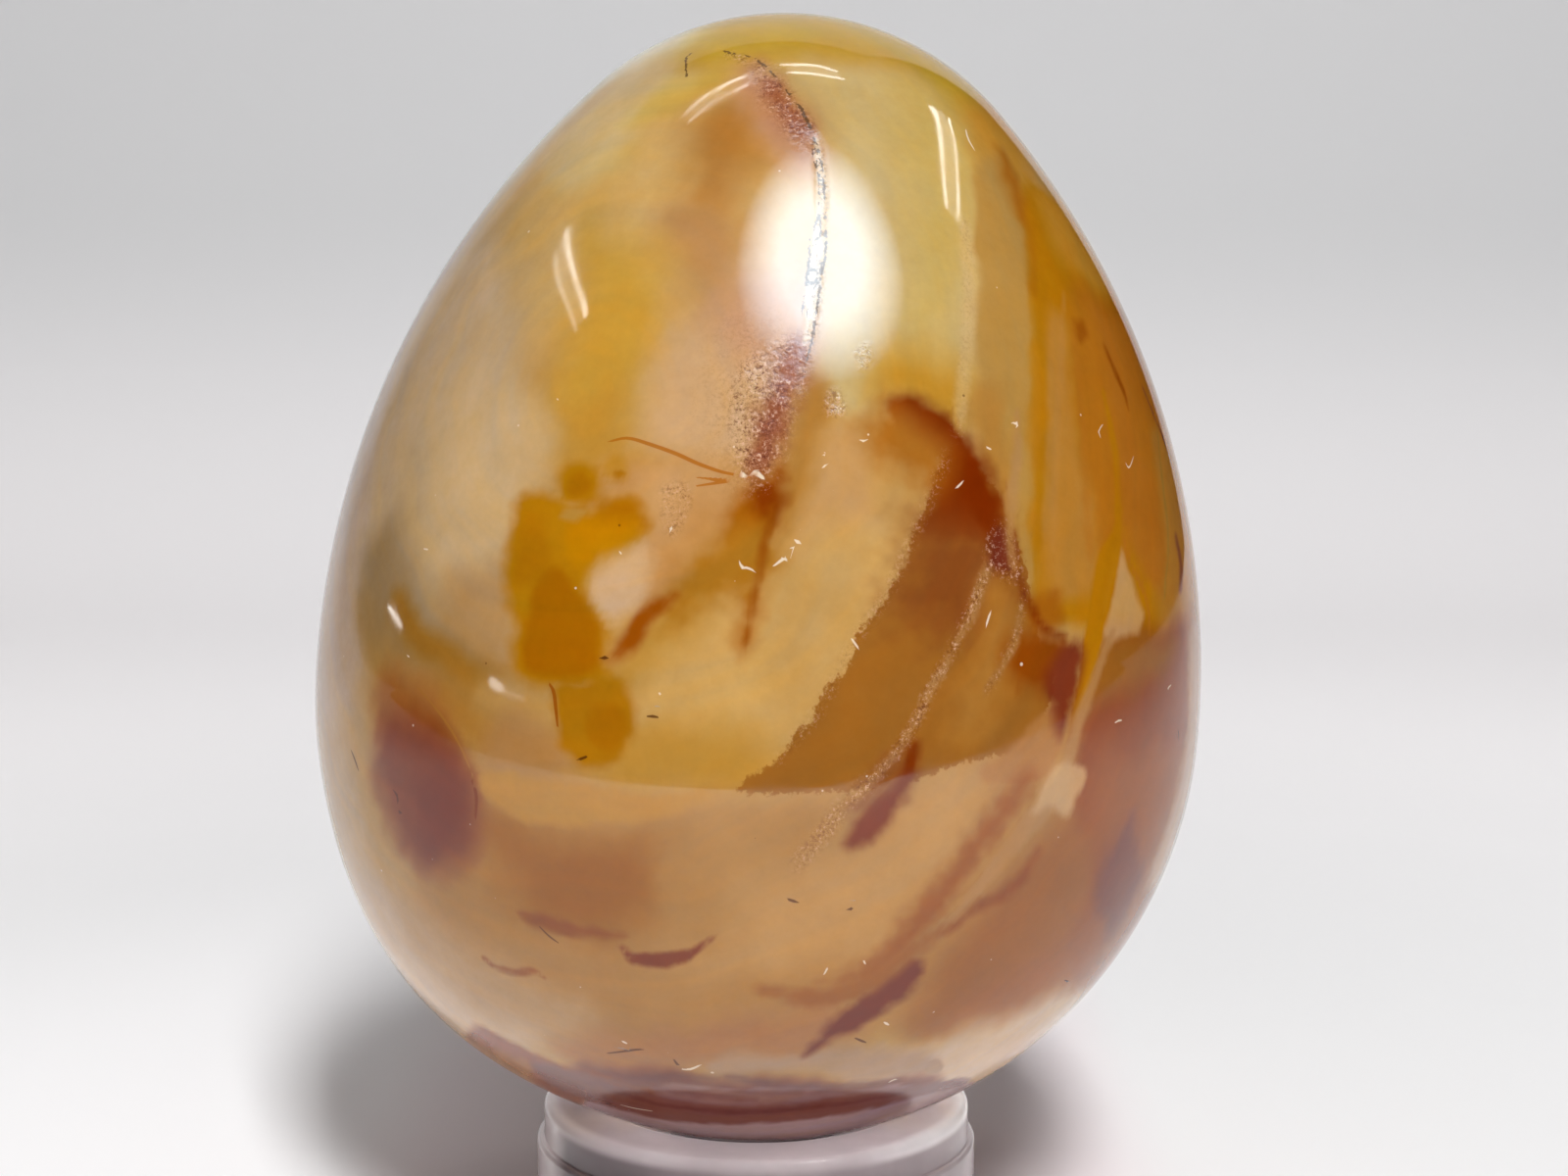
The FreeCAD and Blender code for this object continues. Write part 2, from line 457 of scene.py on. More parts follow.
def depth_in(mark, chart, flat, margin):
    """Millimetres by which each map place lies inside a mark, less than zero outside it.

    A stroke's is its half width less the distance to its line; a patch's is the distance to its
    outline, with the sign from how many times the outline is crossed on the way out.
    """
    closed = mark.width is None
    points = pixels_of(mark.path)
    widths = np.atleast_1d(np.asarray(mark.width or 0, float)) / 2 / PIXELS_PER_MM
    half = np.interp(np.linspace(0, 1, len(points)), np.linspace(0, 1, len(widths)), widths)
    path = smooth_path(np.column_stack([points, half]), closed)
    half = path[:, 2]
    line = chart.of_pixels(path[:, :2])
    if closed:
        line, half = np.concatenate([line, line[:1]]), np.concatenate([half, half[:1]])
    room = margin + half.max()
    near = np.all((flat > line.min(0) - room) & (flat < line.max(0) + room), axis=1)
    place = flat[near]
    best = np.full(len(place), -margin)
    crossed = np.zeros(len(place), bool)
    for start, end, half_start, half_end in zip(line[:-1], line[1:], half[:-1], half[1:]):
        run = end - start
        from_start = place - start
        share = np.clip(from_start @ run / max(run @ run, 1e-9), 0, 1)
        off = from_start - share[:, None] * run
        best = np.maximum(best, half_start + (half_end - half_start) * share - np.hypot(off[:, 0], off[:, 1]))
        if closed:
            spans = (start[1] > place[:, 1]) != (end[1] > place[:, 1])
            ahead = from_start[:, 0] * run[1] < from_start[:, 1] * run[0]
            crossed ^= spans & (ahead == (run[1] > 0))
    if closed:
        best = np.where(crossed, np.abs(best), -np.abs(best))
    depth = np.full(len(flat), -margin)
    depth[near] = np.maximum(best, -margin)
    return depth


def smooth(share):
    """The cubic 3t^2 - 2t^3, from 0 to 1."""
    return share * share * (3 - 2 * share)


def blend_in(depth, edge):
    """0 to 1 across an edge of the given softness, by the smooth cubic."""
    return smooth(np.clip(depth / edge / 2 + 0.5, 0, 1))


def drift(flat, size, reach, seed):
    """Map places moved about smoothly, by sums of sine waves in random directions.

    The waves are about the given size long, and each shifts both coordinates by its own share of the reach.
    """
    dice = np.random.default_rng(seed)
    moved = flat.copy()
    waves = 14
    for _ in range(waves):
        bearing, phase = dice.uniform(0, 2 * math.pi, 2)
        pitch = size * dice.uniform(0.6, 1.6)
        wave = np.sin((flat @ [math.cos(bearing), math.sin(bearing)]) * 2 * math.pi / pitch + phase)
        turn = dice.uniform(0, 2 * math.pi)
        moved += wave[:, None] * np.array([math.cos(turn), math.sin(turn)]) * reach / 3
    return moved


# Soft clouds of the stone, painted over one another in this order, among them painted sheen, highlights and
# reflections
CLOUDS = [
    patch("crown", "crown", 1.0, 40,
        "680,40 760,5 850,-10 940,20 1010,80 1040,130 985,115 930,75 860,52 780,58 720,66"),
    patch("straw band", "straw", 1.0, 26,
        "800,75 860,60 930,80 985,125 1005,200 1005,260 1000,360 985,440 930,440 880,425 "
        "845,400 828,330 840,250 830,150"),
    patch("straw shade", "crown", 0.35, 48,
        "920,90 985,110 1000,170 985,240 960,330 930,330 935,220"),
    patch("right shoulder", "amber_yellow", 0.9, 22,
        "985,120 1010,95 1045,150 1050,190 1040,230 1015,200 1000,165"),
    patch("shoulder", "ochre", 1.0, 48,
        "520,230 560,160 620,110 700,80 790,100 825,150 830,250 770,290 700,330 600,340 540,330"),
    patch("shoulder mustard", "mustard", 0.8, 16,
        "672,92 700,76 750,64 785,72 745,92 708,108 665,122 625,130 640,112"),
    patch("shoulder mustard low", "mustard", 0.45, 26,
        "560,175 600,150 650,140 640,170 600,190 560,205"),
    patch("left skin", "pale_straw", 1.0, 50,
        "430,300 480,240 540,165 610,95 700,40 720,0 560,20 420,180"),
    patch("copper", "copper", 0.75, 42,
        "705,120 748,98 800,92 830,135 815,160 775,165 755,205 720,212 700,170"),
    patch("copper heart", "copper", 0.65, 28, "722,128 752,112 770,128 768,158 742,160 724,148"),
    patch("copper foot", "copper", 0.45, 24, "712,180 740,172 750,190 735,212 712,205"),
    patch("biscuit", "biscuit", 0.9, 29,
        "680,215 730,205 765,230 760,300 735,310 700,290 668,250"),
    patch("pale peach", "pale_peach", 1.0, 29,
        "690,300 730,310 760,270 835,300 825,370 805,440 775,485 700,470 640,440 640,400 "
        "662,350"),
    patch("peach blush", "biscuit", 0.35, 22, "700,300 745,300 790,340 760,380 720,350"),
    # Rose haze by the seam, partly the painted halo round the soft box's highlight.
    patch("pink haze", "haze_halo_and_sheen_pink", 0.5, 26,
        "745,290 800,280 834,290 834,360 800,380 750,370 725,330"),
    patch("pink haze crown", "haze_halo_and_sheen_pink", 0.7, 18,
        "752,66 780,70 806,100 832,140 828,170 796,160 770,130 742,90"),
    patch("seam top crystals", "heather", 0.3, 16,
        "756,62 778,62 804,92 830,136 826,158 800,140 778,112 758,84"),
    patch("gold column", "gold", 0.95, 42,
        "598,220 640,245 684,290 672,350 652,400 634,440 610,470 575,460 560,420 575,350 "
        "590,280"),
    patch("gold column heart", "gold", 0.6, 19,
        "620,320 655,320 640,380 620,430 596,430 600,370"),
    # Painted light: the left shoulder lightened where the lamp's light falls away towards the edge.
    patch("shoulder left light", "ochre", 0.6, 34,
        "480,250 520,190 580,130 625,96 640,130 600,170 580,240 570,320 520,350 490,320"),
    patch("shoulder skin light", "pale_straw", 0.35, 26,
        "560,160 604,112 660,70 700,78 660,116 624,164 586,196"),
    patch("column bleed", "amber_yellow", 0.6, 22,
        "585,410 630,400 640,440 660,470 640,490 600,480 570,460 560,430"),
    patch("left flank", "beige", 1.0, 35,
        "490,215 520,270 535,340 545,420 545,480 528,520 515,580 528,640 540,700 480,680 "
        "420,640 360,600 350,500 390,400 440,300"),
    patch("flank heart", "light_beige", 1.0, 38,
        "470,400 520,395 548,440 535,500 512,560 490,600 450,590 432,540 432,470"),
    patch("flank light", "light_beige", 0.55, 30, "425,375 480,370 490,430 450,465 415,435"),
    patch("flank shade", "umber", 0.75, 26,
        "505,250 505,290 475,330 445,385 425,440 405,520 385,560 340,520 375,410 440,300"),
    patch("flank top shade", "umber", 0.35, 35,
        "470,300 510,290 525,350 490,400 440,420 430,370"),
    # Painted sheen along the left edge of the stone.
    patch("left rim", "rim_sheen_pink", 0.75, 34,
        "470,200 480,240 425,330 390,430 372,540 368,640 366,720 320,720 300,560 340,380 "
        "420,220"),
    patch("flank blush", "pink_beige", 0.95, 29,
        "462,585 520,590 530,650 545,700 490,690 455,650"),
    patch("flank olive", "olive_grey", 0.65, 40,
        "375,570 400,530 425,590 460,645 500,690 440,700 390,670 370,640"),
    stroke("olive smear", "olive", 0.9, 16, 44, "405,622 435,652 462,676 498,700"),
    patch("under smear", "amber_tan", 0.9, 26,
        "440,690 490,706 530,730 560,750 545,765 500,760 455,735"),
    patch("under smear light", "honey", 0.9, 18,
        "490,690 530,700 562,712 572,745 560,770 530,760 505,735 485,712"),
    patch("under smear pale", "cream_tan", 0.8, 19,
        "520,735 565,740 590,785 560,800 510,790 495,760"),
    patch("waist", "pink_tan", 1.0, 26,
        "630,470 700,470 770,485 775,520 720,555 690,620 655,620 650,560 655,520 620,500"),
    patch("waist pale", "pale_peach", 0.5, 22,
        "660,480 720,480 740,500 700,520 690,550 665,540"),
    patch("flesh", "cream_yellow", 1.0, 22,
        "700,640 735,600 790,585 805,540 812,480 835,420 880,430 900,470 965,465 950,530 "
        "920,600 870,680 820,760 760,806 690,812 630,800 640,750 650,700 670,660"),
    patch("flesh bright", "butter", 0.8, 32,
        "650,700 700,660 740,680 780,660 790,720 740,750 690,740 655,740"),
    patch("flesh top", "olive_tan", 0.9, 22,
        "830,440 880,440 905,480 900,520 870,530 830,540 815,560 812,500"),
    patch("flesh amber edge", "amber_tan", 1.0, 16,
        "815,395 845,385 850,420 828,450 822,500 806,540 796,520 800,470"),
    patch("flesh haze", "honey", 0.9, 19,
        "895,430 960,458 955,500 930,535 905,528 895,480 880,450"),
    patch("flesh gold", "low_gold", 0.9, 26,
        "640,752 700,740 760,750 790,775 760,808 700,812 620,808 625,785"),
    patch("flesh gold left", "low_gold", 0.8, 20,
        "615,690 640,668 664,640 700,604 730,600 716,636 690,664 655,690 632,698"),
    patch("straw foot", "foot_gold", 0.85, 26,
        "885,372 930,358 975,366 990,400 978,440 940,415 905,405"),
    patch("tan strip", "tan", 1.0, 9,
        "1000,170 1020,150 1042,200 1058,260 1062,400 1064,600 1040,590 1020,520 1000,450 "
        "980,420 994,380 1000,300 996,230"),
    patch("tan strip amber", "amber_tan", 0.75, 16,
        "990,400 1018,400 1028,460 1030,540 1020,560 1005,480"),
    patch("amber side", "amber", 1.0, 12,
        "1046,190 1080,210 1140,280 1190,380 1230,520 1240,640 1180,650 1100,640 1058,620 "
        "1056,480 1052,300"),
    patch("side copper", "side_copper", 0.8, 14,
        "1012,150 1026,160 1046,205 1056,250 1062,300 1054,300 1048,250 1036,205 1020,170"),
    patch("side copper low", "side_copper", 0.7, 28,
        "1120,300 1150,320 1200,400 1205,450 1170,420 1130,350"),
    patch("side top light", "amber_yellow", 0.9, 26,
        "1058,196 1090,214 1120,262 1128,300 1090,270 1066,232"),
    patch("side orange", "burnt", 0.75, 26,
        "1096,300 1130,320 1156,420 1152,540 1128,600 1108,540 1096,420"),
    # Painted sheen along the upper right edge of the stone.
    stroke("right rim", "haze_halo_and_sheen_pink", 0.7, 12, 16,
        "1010,96 1046,134 1086,186 1122,246 1152,306 1176,366 1194,426"),
    patch("side burnt", "burnt", 0.85, 22,
        "1120,320 1160,340 1200,430 1212,520 1216,600 1190,610 1160,560 1140,460 1130,390"),
    patch("side tan", "streak_tan", 0.85, 16,
        "1062,330 1090,330 1098,440 1118,530 1118,600 1088,610 1066,600 1060,460"),
    patch("side edge", "streak_tan", 0.65, 16,
        "1176,440 1190,450 1212,520 1220,600 1215,650 1190,655 1178,610 1184,540 1178,480"),
    patch("belly", "peach", 1.0, 29,
        "480,800 620,815 780,812 880,808 950,790 1020,775 1080,790 1060,900 980,1020 820,1070 "
        "640,1060 480,1000 420,920"),
    patch("belly russet", "russet", 0.9, 32,
        "494,836 560,850 640,850 690,870 670,935 600,952 540,940 496,900"),
    patch("belly russet heart", "russet", 0.7, 22,
        "545,890 610,875 640,900 620,945 570,942 540,925"),
    patch("belly middle", "peach_tan", 0.9, 35,
        "690,850 780,820 860,830 860,900 800,960 720,950 670,900"),
    patch("belly light", "light_peach", 1.0, 35,
        "760,900 850,880 920,860 980,830 1000,860 930,920 880,980 800,1000 720,1020 660,1030 "
        "690,990 740,960"),
    patch("belly upper light", "light_peach", 0.7, 26,
        "900,830 940,795 1000,780 1040,785 1010,830 950,870 910,870"),
    patch("belly low", "peach", 0.9, 22,
        "600,1000 720,1000 820,1010 800,1040 700,1050 600,1055 560,1030"),
    patch("left heel", "heel_cream", 1.0, 35,
        "380,900 430,930 480,970 540,1000 600,1030 600,1060 540,1070 470,1060 400,1000 360,930"),
    # Painted highlight: a pale band along the lower left edge of the stone.
    patch("left heel rim", "cream_and_edge_highlight", 0.55, 30,
        "335,700 360,780 372,850 392,910 430,970 480,1020 540,1056 520,1080 440,1030 380,950 "
        "345,850 325,760"),
    patch("left heel brown", "amber_tan", 0.5, 26, "470,860 540,900 540,960 490,960 440,920"),
    patch("heel pink", "rose_tan", 0.75, 22,
        "570,1062 640,1054 720,1044 800,1030 860,1028 880,1056 820,1080 740,1086 680,1096 "
        "620,1092 580,1080"),
    patch("oval cap", "oval_brown", 0.85, 24,
        "382,720 388,690 404,682 432,700 458,735 480,780 488,812 470,800 430,760 395,755"),
    patch("plum oval", "plum", 0.92, 30,
        "388,740 420,732 452,752 478,785 486,820 480,854 462,881 438,889 412,870 396,840 "
        "386,795"),
    patch("plum oval heart", "purple", 0.5, 26,
        "430,790 470,800 482,830 470,870 440,870 425,830"),
    patch("right belly brown", "brown", 1.0, 32,
        "1060,850 1110,800 1150,840 1140,930 1080,1000 1000,1040 930,1050 960,980 1000,930"),
    patch("right haunch", "haunch", 1.0, 22,
        "1130,650 1180,640 1240,640 1240,800 1200,930 1120,1010 1090,980 1120,880 1100,820 "
        "1095,760 1110,700"),
    patch("haunch rose", "rose", 0.7, 32,
        "1120,780 1180,760 1230,780 1200,880 1150,900 1110,860"),
    patch("haunch low", "rose", 0.8, 35,
        "1140,900 1180,900 1120,1000 1040,1050 960,1050 1000,1020 1080,960"),
    # Painted sheen along the lower right edge of the stone.
    patch("right rim low", "rim_sheen_pink", 0.72, 16,
        "1214,640 1212,740 1198,820 1170,900 1190,910 1230,840 1245,740 1240,640"),
    patch("haunch top", "toffee", 0.9, 26,
        "1122,655 1165,645 1200,655 1185,690 1150,706 1115,722 1108,720 1116,690"),
    patch("haunch lens", "haunch_purple", 0.95, 18,
        "1153,836 1162,860 1164,896 1152,930 1130,955 1118,930 1122,890 1138,858"),
    patch("right heel", "cream_and_edge_highlight", 0.95, 24,
        "870,1084 930,1070 1000,1048 1050,1028 1085,1010 1110,1030 1060,1070 1000,1100 950,1112 "
        "890,1106"),
    patch("heel band", "heel_rose", 0.85, 14,
        "730,1084 800,1076 870,1072 940,1070 950,1092 900,1100 820,1096 740,1098"),
    patch("heel mauve", "mauve", 0.85, 16,
        "586,1090 640,1087 680,1094 720,1101 760,1102 830,1104 900,1104 960,1098 930,1124 "
        "840,1136 740,1138 660,1130 610,1116"),
    # Painted reflection: the band's hard top edge stands where the stone's mirror image passes from the lit
    # floor to the dark floor under the ring.
    patch("heel dusk", "reflection_dusk", 0.9, 4,
        "604,1113 640,1111 700,1110 770,1111 850,1110 932,1112 910,1124 840,1132 760,1137 "
        "690,1134 640,1125"),
    patch("brown toe", "red_brown", 1.0, 9,
        "490,1050 530,1067 565,1083 600,1094 640,1104 665,1114 665,1145 600,1132 545,1112 "
        "480,1076"),
    patch("left foot gold", "amber_tan", 0.7, 12,
        "410,1008 450,1036 500,1066 540,1086 540,1130 470,1100 400,1040"),
    patch("right foot gold", "low_gold", 0.6, 9,
        "930,1124 990,1100 1040,1074 1070,1052 1090,1070 1040,1110 960,1140"),
    # Painted reflection of the ring's rim in the stone's underside.
    patch("underside", "lilac", 0.95, 5,
        "600,1116 650,1130 700,1140 760,1142 850,1134 930,1116 990,1100 1040,1130 900,1210 "
        "760,1225 620,1200 590,1150"),
]
# The open seam down the front
SEAM = stroke("seam filling", "seam_cream", 0.9, 2, [4, 7, 9, 8, 13, 16, 12, 8, 4],
        "833,142 836,165 838,190 838,215 835,245 832,280 829,310 826,335 822,352", jag=0.05)

# Wide markings with cut or crystalline edges
BANDS = [
    patch("toffee lens", "toffee", 1.0, 2,
        "968,462 956,480 951,500 938,527 930,545 927,565 921,582 909,597 904,612 893,627 "
        "879,642 872,656 869,671 860,686 848,698 838,707 832,722 827,738 812,748 803,762 "
        "793,776 776,787 756,800 764,809 850,809 880,806 930,796 980,779 1000,774 1045,766 "
        "1062,740 1075,700 1062,660 1052,610 1042,560 1025,520 1010,490 985,465", jag=0.3),
    patch("amber wall", "amber", 0.45, 6,
        "1047,215 1060,215 1070,300 1068,430 1060,520 1053,420 1051,300", jag=0.02),
    patch("cream arc", "cream_arc", 1.0, 6,
        "500,788 560,795 620,806 680,812 722,806 700,822 660,836 600,843 540,839 505,820 "
        "490,800", jag=0.03),
    patch("wine band", "wine", 0.92, 8,
        "544,1084 575,1090 620,1103 660,1113 700,1123 740,1128 790,1127 840,1122 890,1114 "
        "940,1107 975,1100 985,1106 930,1121 880,1133 830,1142 760,1147 700,1146 650,1137 "
        "600,1123 560,1105", jag=0.04),
    patch("cream side", "pale_peach", 0.75, 7,
        "1142,560 1150,580 1160,605 1167,630 1161,645 1140,652 1127,651 1120,640 1127,612 "
        "1134,585", jag=0.02),
    patch("druse field", "heather", 1.0, 16,
        "808,345 826,350 818,395 806,430 792,470 773,496 762,480 772,430 785,390"),
    patch("druse crown", "heather", 0.8, 8,
        "785,78 805,96 825,125 830,140 812,138 795,115 780,95"),
]
# Lenses and tongues over them
LENSES = [
    patch("maroon cap", "maroon", 1.0, 10,
        "902,418 912,402 935,401 957,416 978,434 992,455 1000,482 985,496 965,478 940,460 "
        "915,446"),
    patch("maroon core", "maroon", 1.0, 15,
        "955,462 984,444 1008,474 1022,510 1034,545 1040,578 1020,584 1000,562 972,556 945,550 "
        "936,535 948,505"),
    patch("cap haze", "side_copper", 0.75, 26,
        "885,425 910,412 950,440 972,462 960,500 925,490 895,465"),
    patch("lens shade", "plum_brown", 0.85, 40,
        "934,530 980,535 1022,556 1030,600 1010,645 962,650 915,622 920,578"),
    patch("maroon lens", "maroon", 0.95, 9,
        "934,755 938,775 934,795 925,812 910,835 896,852 885,863 868,866 862,855 870,838 "
        "882,822 900,800 915,775", jag=0.05),
    patch("maroon lens haze", "brown_red", 0.85, 10,
        "905,770 925,765 915,800 895,815 875,835 866,825 885,800"),
    patch("purple lens", "purple", 0.86, 8,
        "928,974 940,980 941,994 930,1011 910,1026 890,1041 860,1056 840,1068 820,1081 826,1068 "
        "850,1040 875,1020 900,1000 915,985", jag=0.05),
    patch("amber crown drop", "drop", 1.0, 9,
        "592,468 610,478 614,494 606,512 590,517 574,514 569,498 574,478"),
    patch("amber mass", "drop", 1.0, 12,
        "530,505 562,504 600,520 630,508 650,512 659,528 654,548 636,562 616,570 604,584 "
        "600,606 614,630 622,652 618,684 640,694 606,706 580,704 545,700 525,688 522,660 "
        "526,640 518,620 515,600 515,570 522,535"),
    patch("lower drop", "lower_drop", 1.0, 9,
        "565,697 600,692 632,690 644,706 648,735 643,756 630,775 612,783 590,781 574,765 "
        "567,740"),
    patch("small drop", "drop", 0.45, 6, "615,478 621,466 635,465 642,476 637,491 626,491"),
    patch("milky inclusion", "milky", 0.95, 12,
        "606,583 624,571 648,556 662,560 664,580 655,608 642,626 628,636 614,628 600,606", jag=0.04),
    patch("wedge", "wedge", 1.0, 14,
        "775,488 800,478 802,500 796,530 782,580 772,630 760,668 752,640 757,590 735,560 "
        "745,520"),
    patch("lens light", "streak_tan", 0.5, 24,
        "1000,600 1024,590 1034,640 1030,700 1000,750 970,760 985,700 1000,650"),
    patch("wedge bleed", "wedge_amber", 0.75, 20,
        "690,590 745,540 780,540 796,565 775,605 735,612 700,632 676,640"),
    patch("burnt patch", "burnt_orange", 1.0, 18,
        "1030,650 1060,645 1090,655 1096,690 1080,710 1050,705 1030,690 1022,670"),
    patch("side amber patch", "side_copper", 0.9, 12,
        "1052,606 1078,604 1085,625 1080,645 1055,640 1048,625"),
    patch("side gold", "amber", 1.0, 4,
        "1120,570 1140,540 1140,590 1128,640 1116,690 1100,730 1090,750 1100,690 1110,630"),
    stroke("cream vein", "cream_tan", 0.9, 5, [8, 12, 14, 16, 16, 20, 24, 22, 16, 12, 10, 6],
        "1136,645 1126,668 1116,696 1106,722 1096,748 1090,775 1080,805 1052,838 1025,872 "
        "1002,902 978,930 955,950", jag=0.03),
    patch("cream pocket", "pale_peach", 0.85, 6,
        "1072,778 1100,780 1108,792 1098,815 1088,834 1070,824 1054,830 1064,800", jag=0.04),
    patch("rose pocket", "rose_peach", 0.9, 7,
        "1030,765 1060,730 1085,720 1085,760 1070,790 1050,800 1010,800 1000,785"),
    stroke("russet sweep", "russet_deep", 0.8, 16, [18, 26, 26, 24, 28, 30, 30, 24, 14],
        "1048,795 1030,820 1008,848 985,880 965,908 940,940 910,975 870,1002 828,1020"),
    stroke("russet sweep low", "russet_deep", 0.6, 10, [10, 22, 26, 20, 8],
        "780,1010 830,1018 880,1005 930,970 960,950"),
    stroke("red tongue", "red_brown", 0.85, 8, [6, 12, 14, 12, 10, 6],
        "1060,868 1045,893 1024,913 1000,924 982,938 962,952", jag=0.04),
    patch("russet stroke a", "red_brown", 0.75, 6,
        "530,930 560,935 600,946 640,955 600,958 560,950 540,942"),
    stroke("russet stroke b", "stroke_red", 1.0, 4, [4, 12, 18, 14, 9, 4],
        "634,966 646,978 664,980 692,978 710,970 730,955", jag=0.05),
    stroke("russet stroke c", "red_brown", 0.7, 4, [4, 8, 9, 9, 4],
        "494,978 508,988 528,992 545,992 556,998"),
    SEAM,
    patch("fringe", "fringe", 0.5, 5,
        "980,228 990,232 995,265 997,310 994,350 990,385 985,420 980,440 974,420 977,390 "
        "981,350 982,300 980,260", jag=0.06),
    stroke("crystal line", "crystal", 0.6, 4, [6, 10, 12, 10, 8, 8, 8, 8, 6, 6, 5],
        "1022,545 1008,580 998,605 990,632 976,655 962,684 950,703 936,735 918,762 900,785 "
        "872,812", jag=0.25),
    stroke("crystal line side", "crystal", 0.4, 4, [4, 8, 10, 8, 4],
        "1046,605 1040,632 1034,658 1022,682 1006,705", jag=0.25),
    patch("star", "purple", 0.85, 6,
        "1008,572 1012,545 1022,536 1034,545 1040,560 1040,578 1046,592 1032,586 1020,584", jag=0.2),
    patch("side purple", "side_purple", 0.9, 12,
        "1085,658 1100,652 1106,672 1100,700 1093,726 1087,752 1078,745 1073,722 1064,704 "
        "1070,680", jag=0.1),
    stroke("right streak 1", "amber", 0.7, 5, [6, 10, 10, 10, 6],
        "1060,240 1062,330 1064,430 1060,520 1056,600"),
    stroke("right streak 2", "streak_tan", 0.8, 5, [4, 9, 10, 8],
        "1086,300 1082,380 1078,460 1074,560"),
    stroke("right streak 3", "burnt", 0.5, 6, [6, 10, 12, 8],
        "1096,330 1104,420 1108,500 1112,570"),
    stroke("right streak 4", "amber", 0.9, 4, [6, 12, 14, 14, 10],
        "1126,400 1136,450 1141,500 1139,560 1126,620"),
    stroke("right streak 5", "burnt_orange", 0.9, 4, [4, 9, 8, 4],
        "1126,350 1136,375 1146,398 1152,420"),
    patch("right lens", "burnt", 0.8, 12,
        "1152,440 1166,470 1180,500 1190,560 1186,600 1170,590 1156,560 1146,520 1144,480"),
    stroke("right olive line", "olive_line", 0.8, 3, [3, 6, 6, 4],
        "1180,430 1186,490 1192,550 1188,610"),
    stroke("cream side edge", "burnt", 1.0, 3, [3, 5, 6, 4],
        "1146,552 1156,582 1170,612 1173,650"),
    stroke("pale streak", "streak_pale", 0.7, 5, [6, 12, 14, 12, 8],
        "1038,420 1038,460 1034,500 1030,540 1036,590"),
    stroke("side purple rim", "haunch_purple", 0.8, 4, [5, 8, 8, 5],
        "1166,395 1178,425 1188,450 1197,478"),
    stroke("side purple rim low", "haunch_purple", 0.8, 6, [8, 16, 12],
        "1200,548 1205,575 1205,600"),
    patch("spot", "burnt_orange", 0.6, 8, "1096,328 1104,328 1110,342 1102,348 1097,338"),
]
# Deeper hearts inside the lenses
HEARTS = [
    patch("mass heart", "deep_drop", 1.0, 9,
        "548,585 565,578 582,590 596,612 612,640 612,672 600,690 560,692 536,680 534,650 "
        "540,620"),
    patch("mass upper", "bright_drop", 0.9, 12,
        "606,520 640,522 648,540 630,556 606,566 590,580 575,560 580,535"),
    patch("mass lobe", "deep_drop", 0.8, 14, "600,514 640,510 655,520 658,535 640,530 610,528"),
    patch("mass left", "deep_drop", 0.4, 12, "528,545 545,530 560,560 556,590 530,600 522,575"),
    patch("mass fleck", "tan", 0.8, 4, "572,522 590,516 600,522 588,532 574,530"),
    patch("lower heart", "deep_drop", 0.6, 6,
        "620,718 637,726 642,742 636,758 620,764 602,758 598,740 606,724"),
    patch("small heart", "deep_drop", 0.7, 3, "632,478 638,484 634,490 626,488 627,481"),
    patch("crown heart", "deep_drop", 0.6, 9, "590,480 606,490 602,506 588,510 578,500"),
    patch("red tongue b", "red_amber", 0.95, 8,
        "612,672 624,666 634,652 642,638 652,626 670,612 692,606 680,622 664,634 657,648 "
        "648,662 632,673 618,675", jag=0.03),
    patch("wedge heart", "maroon_red", 0.9, 14,
        "772,496 798,482 800,505 792,530 778,530 768,512"),
    stroke("wedge streak", "burnt_orange", 0.7, 5, [8, 8, 6, 3],
        "786,520 780,560 770,610 760,660"),
    patch("maroon core heart", "maroon", 0.8, 6,
        "985,470 1000,485 1012,520 1015,545 1000,535 985,505"),
    patch("lens bottom heart", "maroon_red", 0.8, 4, "930,768 934,780 928,798 918,810 922,790"),
    patch("stroke b heart", "plum", 0.7, 3, "650,975 664,978 682,981 664,987 652,983"),
    stroke("ridge tail", "maroon", 0.8, 7, [5, 8, 9, 6], "1036,586 1050,616 1064,638 1088,650"),
    stroke("wine heart", "deep_wine", 0.9, 6, [4, 9, 11, 9, 4],
        "620,1112 680,1128 760,1135 840,1129 920,1116"),
    stroke("heel swirl", "mauve_dark", 0.6, 8, [4, 12, 14, 10, 4],
        "740,1098 780,1106 820,1110 870,1108 920,1102"),
    stroke("heel swirl left", "heel_rose", 0.3, 8, [4, 10, 12, 8, 3],
        "640,1112 690,1108 730,1114 780,1120 830,1118"),
    stroke("heel swirl low", "mauve_dark", 0.5, 8, [4, 8, 8, 4],
        "600,1106 640,1104 690,1098 730,1100"),
    stroke("wine wash", "wine", 0.6, 9, [5, 12, 16, 12, 5],
        "585,1094 625,1104 665,1108 710,1116 770,1122"),
    patch("dull patch", "heel_rose", 0.9, 3, "945,1086 955,1080 963,1088 957,1096 946,1095"),
]

BAND_CENTRE = (600, 400)  # the photograph pixel that the stone's bands run round

LAYERS = {"bands": BANDS, "lenses": LENSES, "hearts": HEARTS}

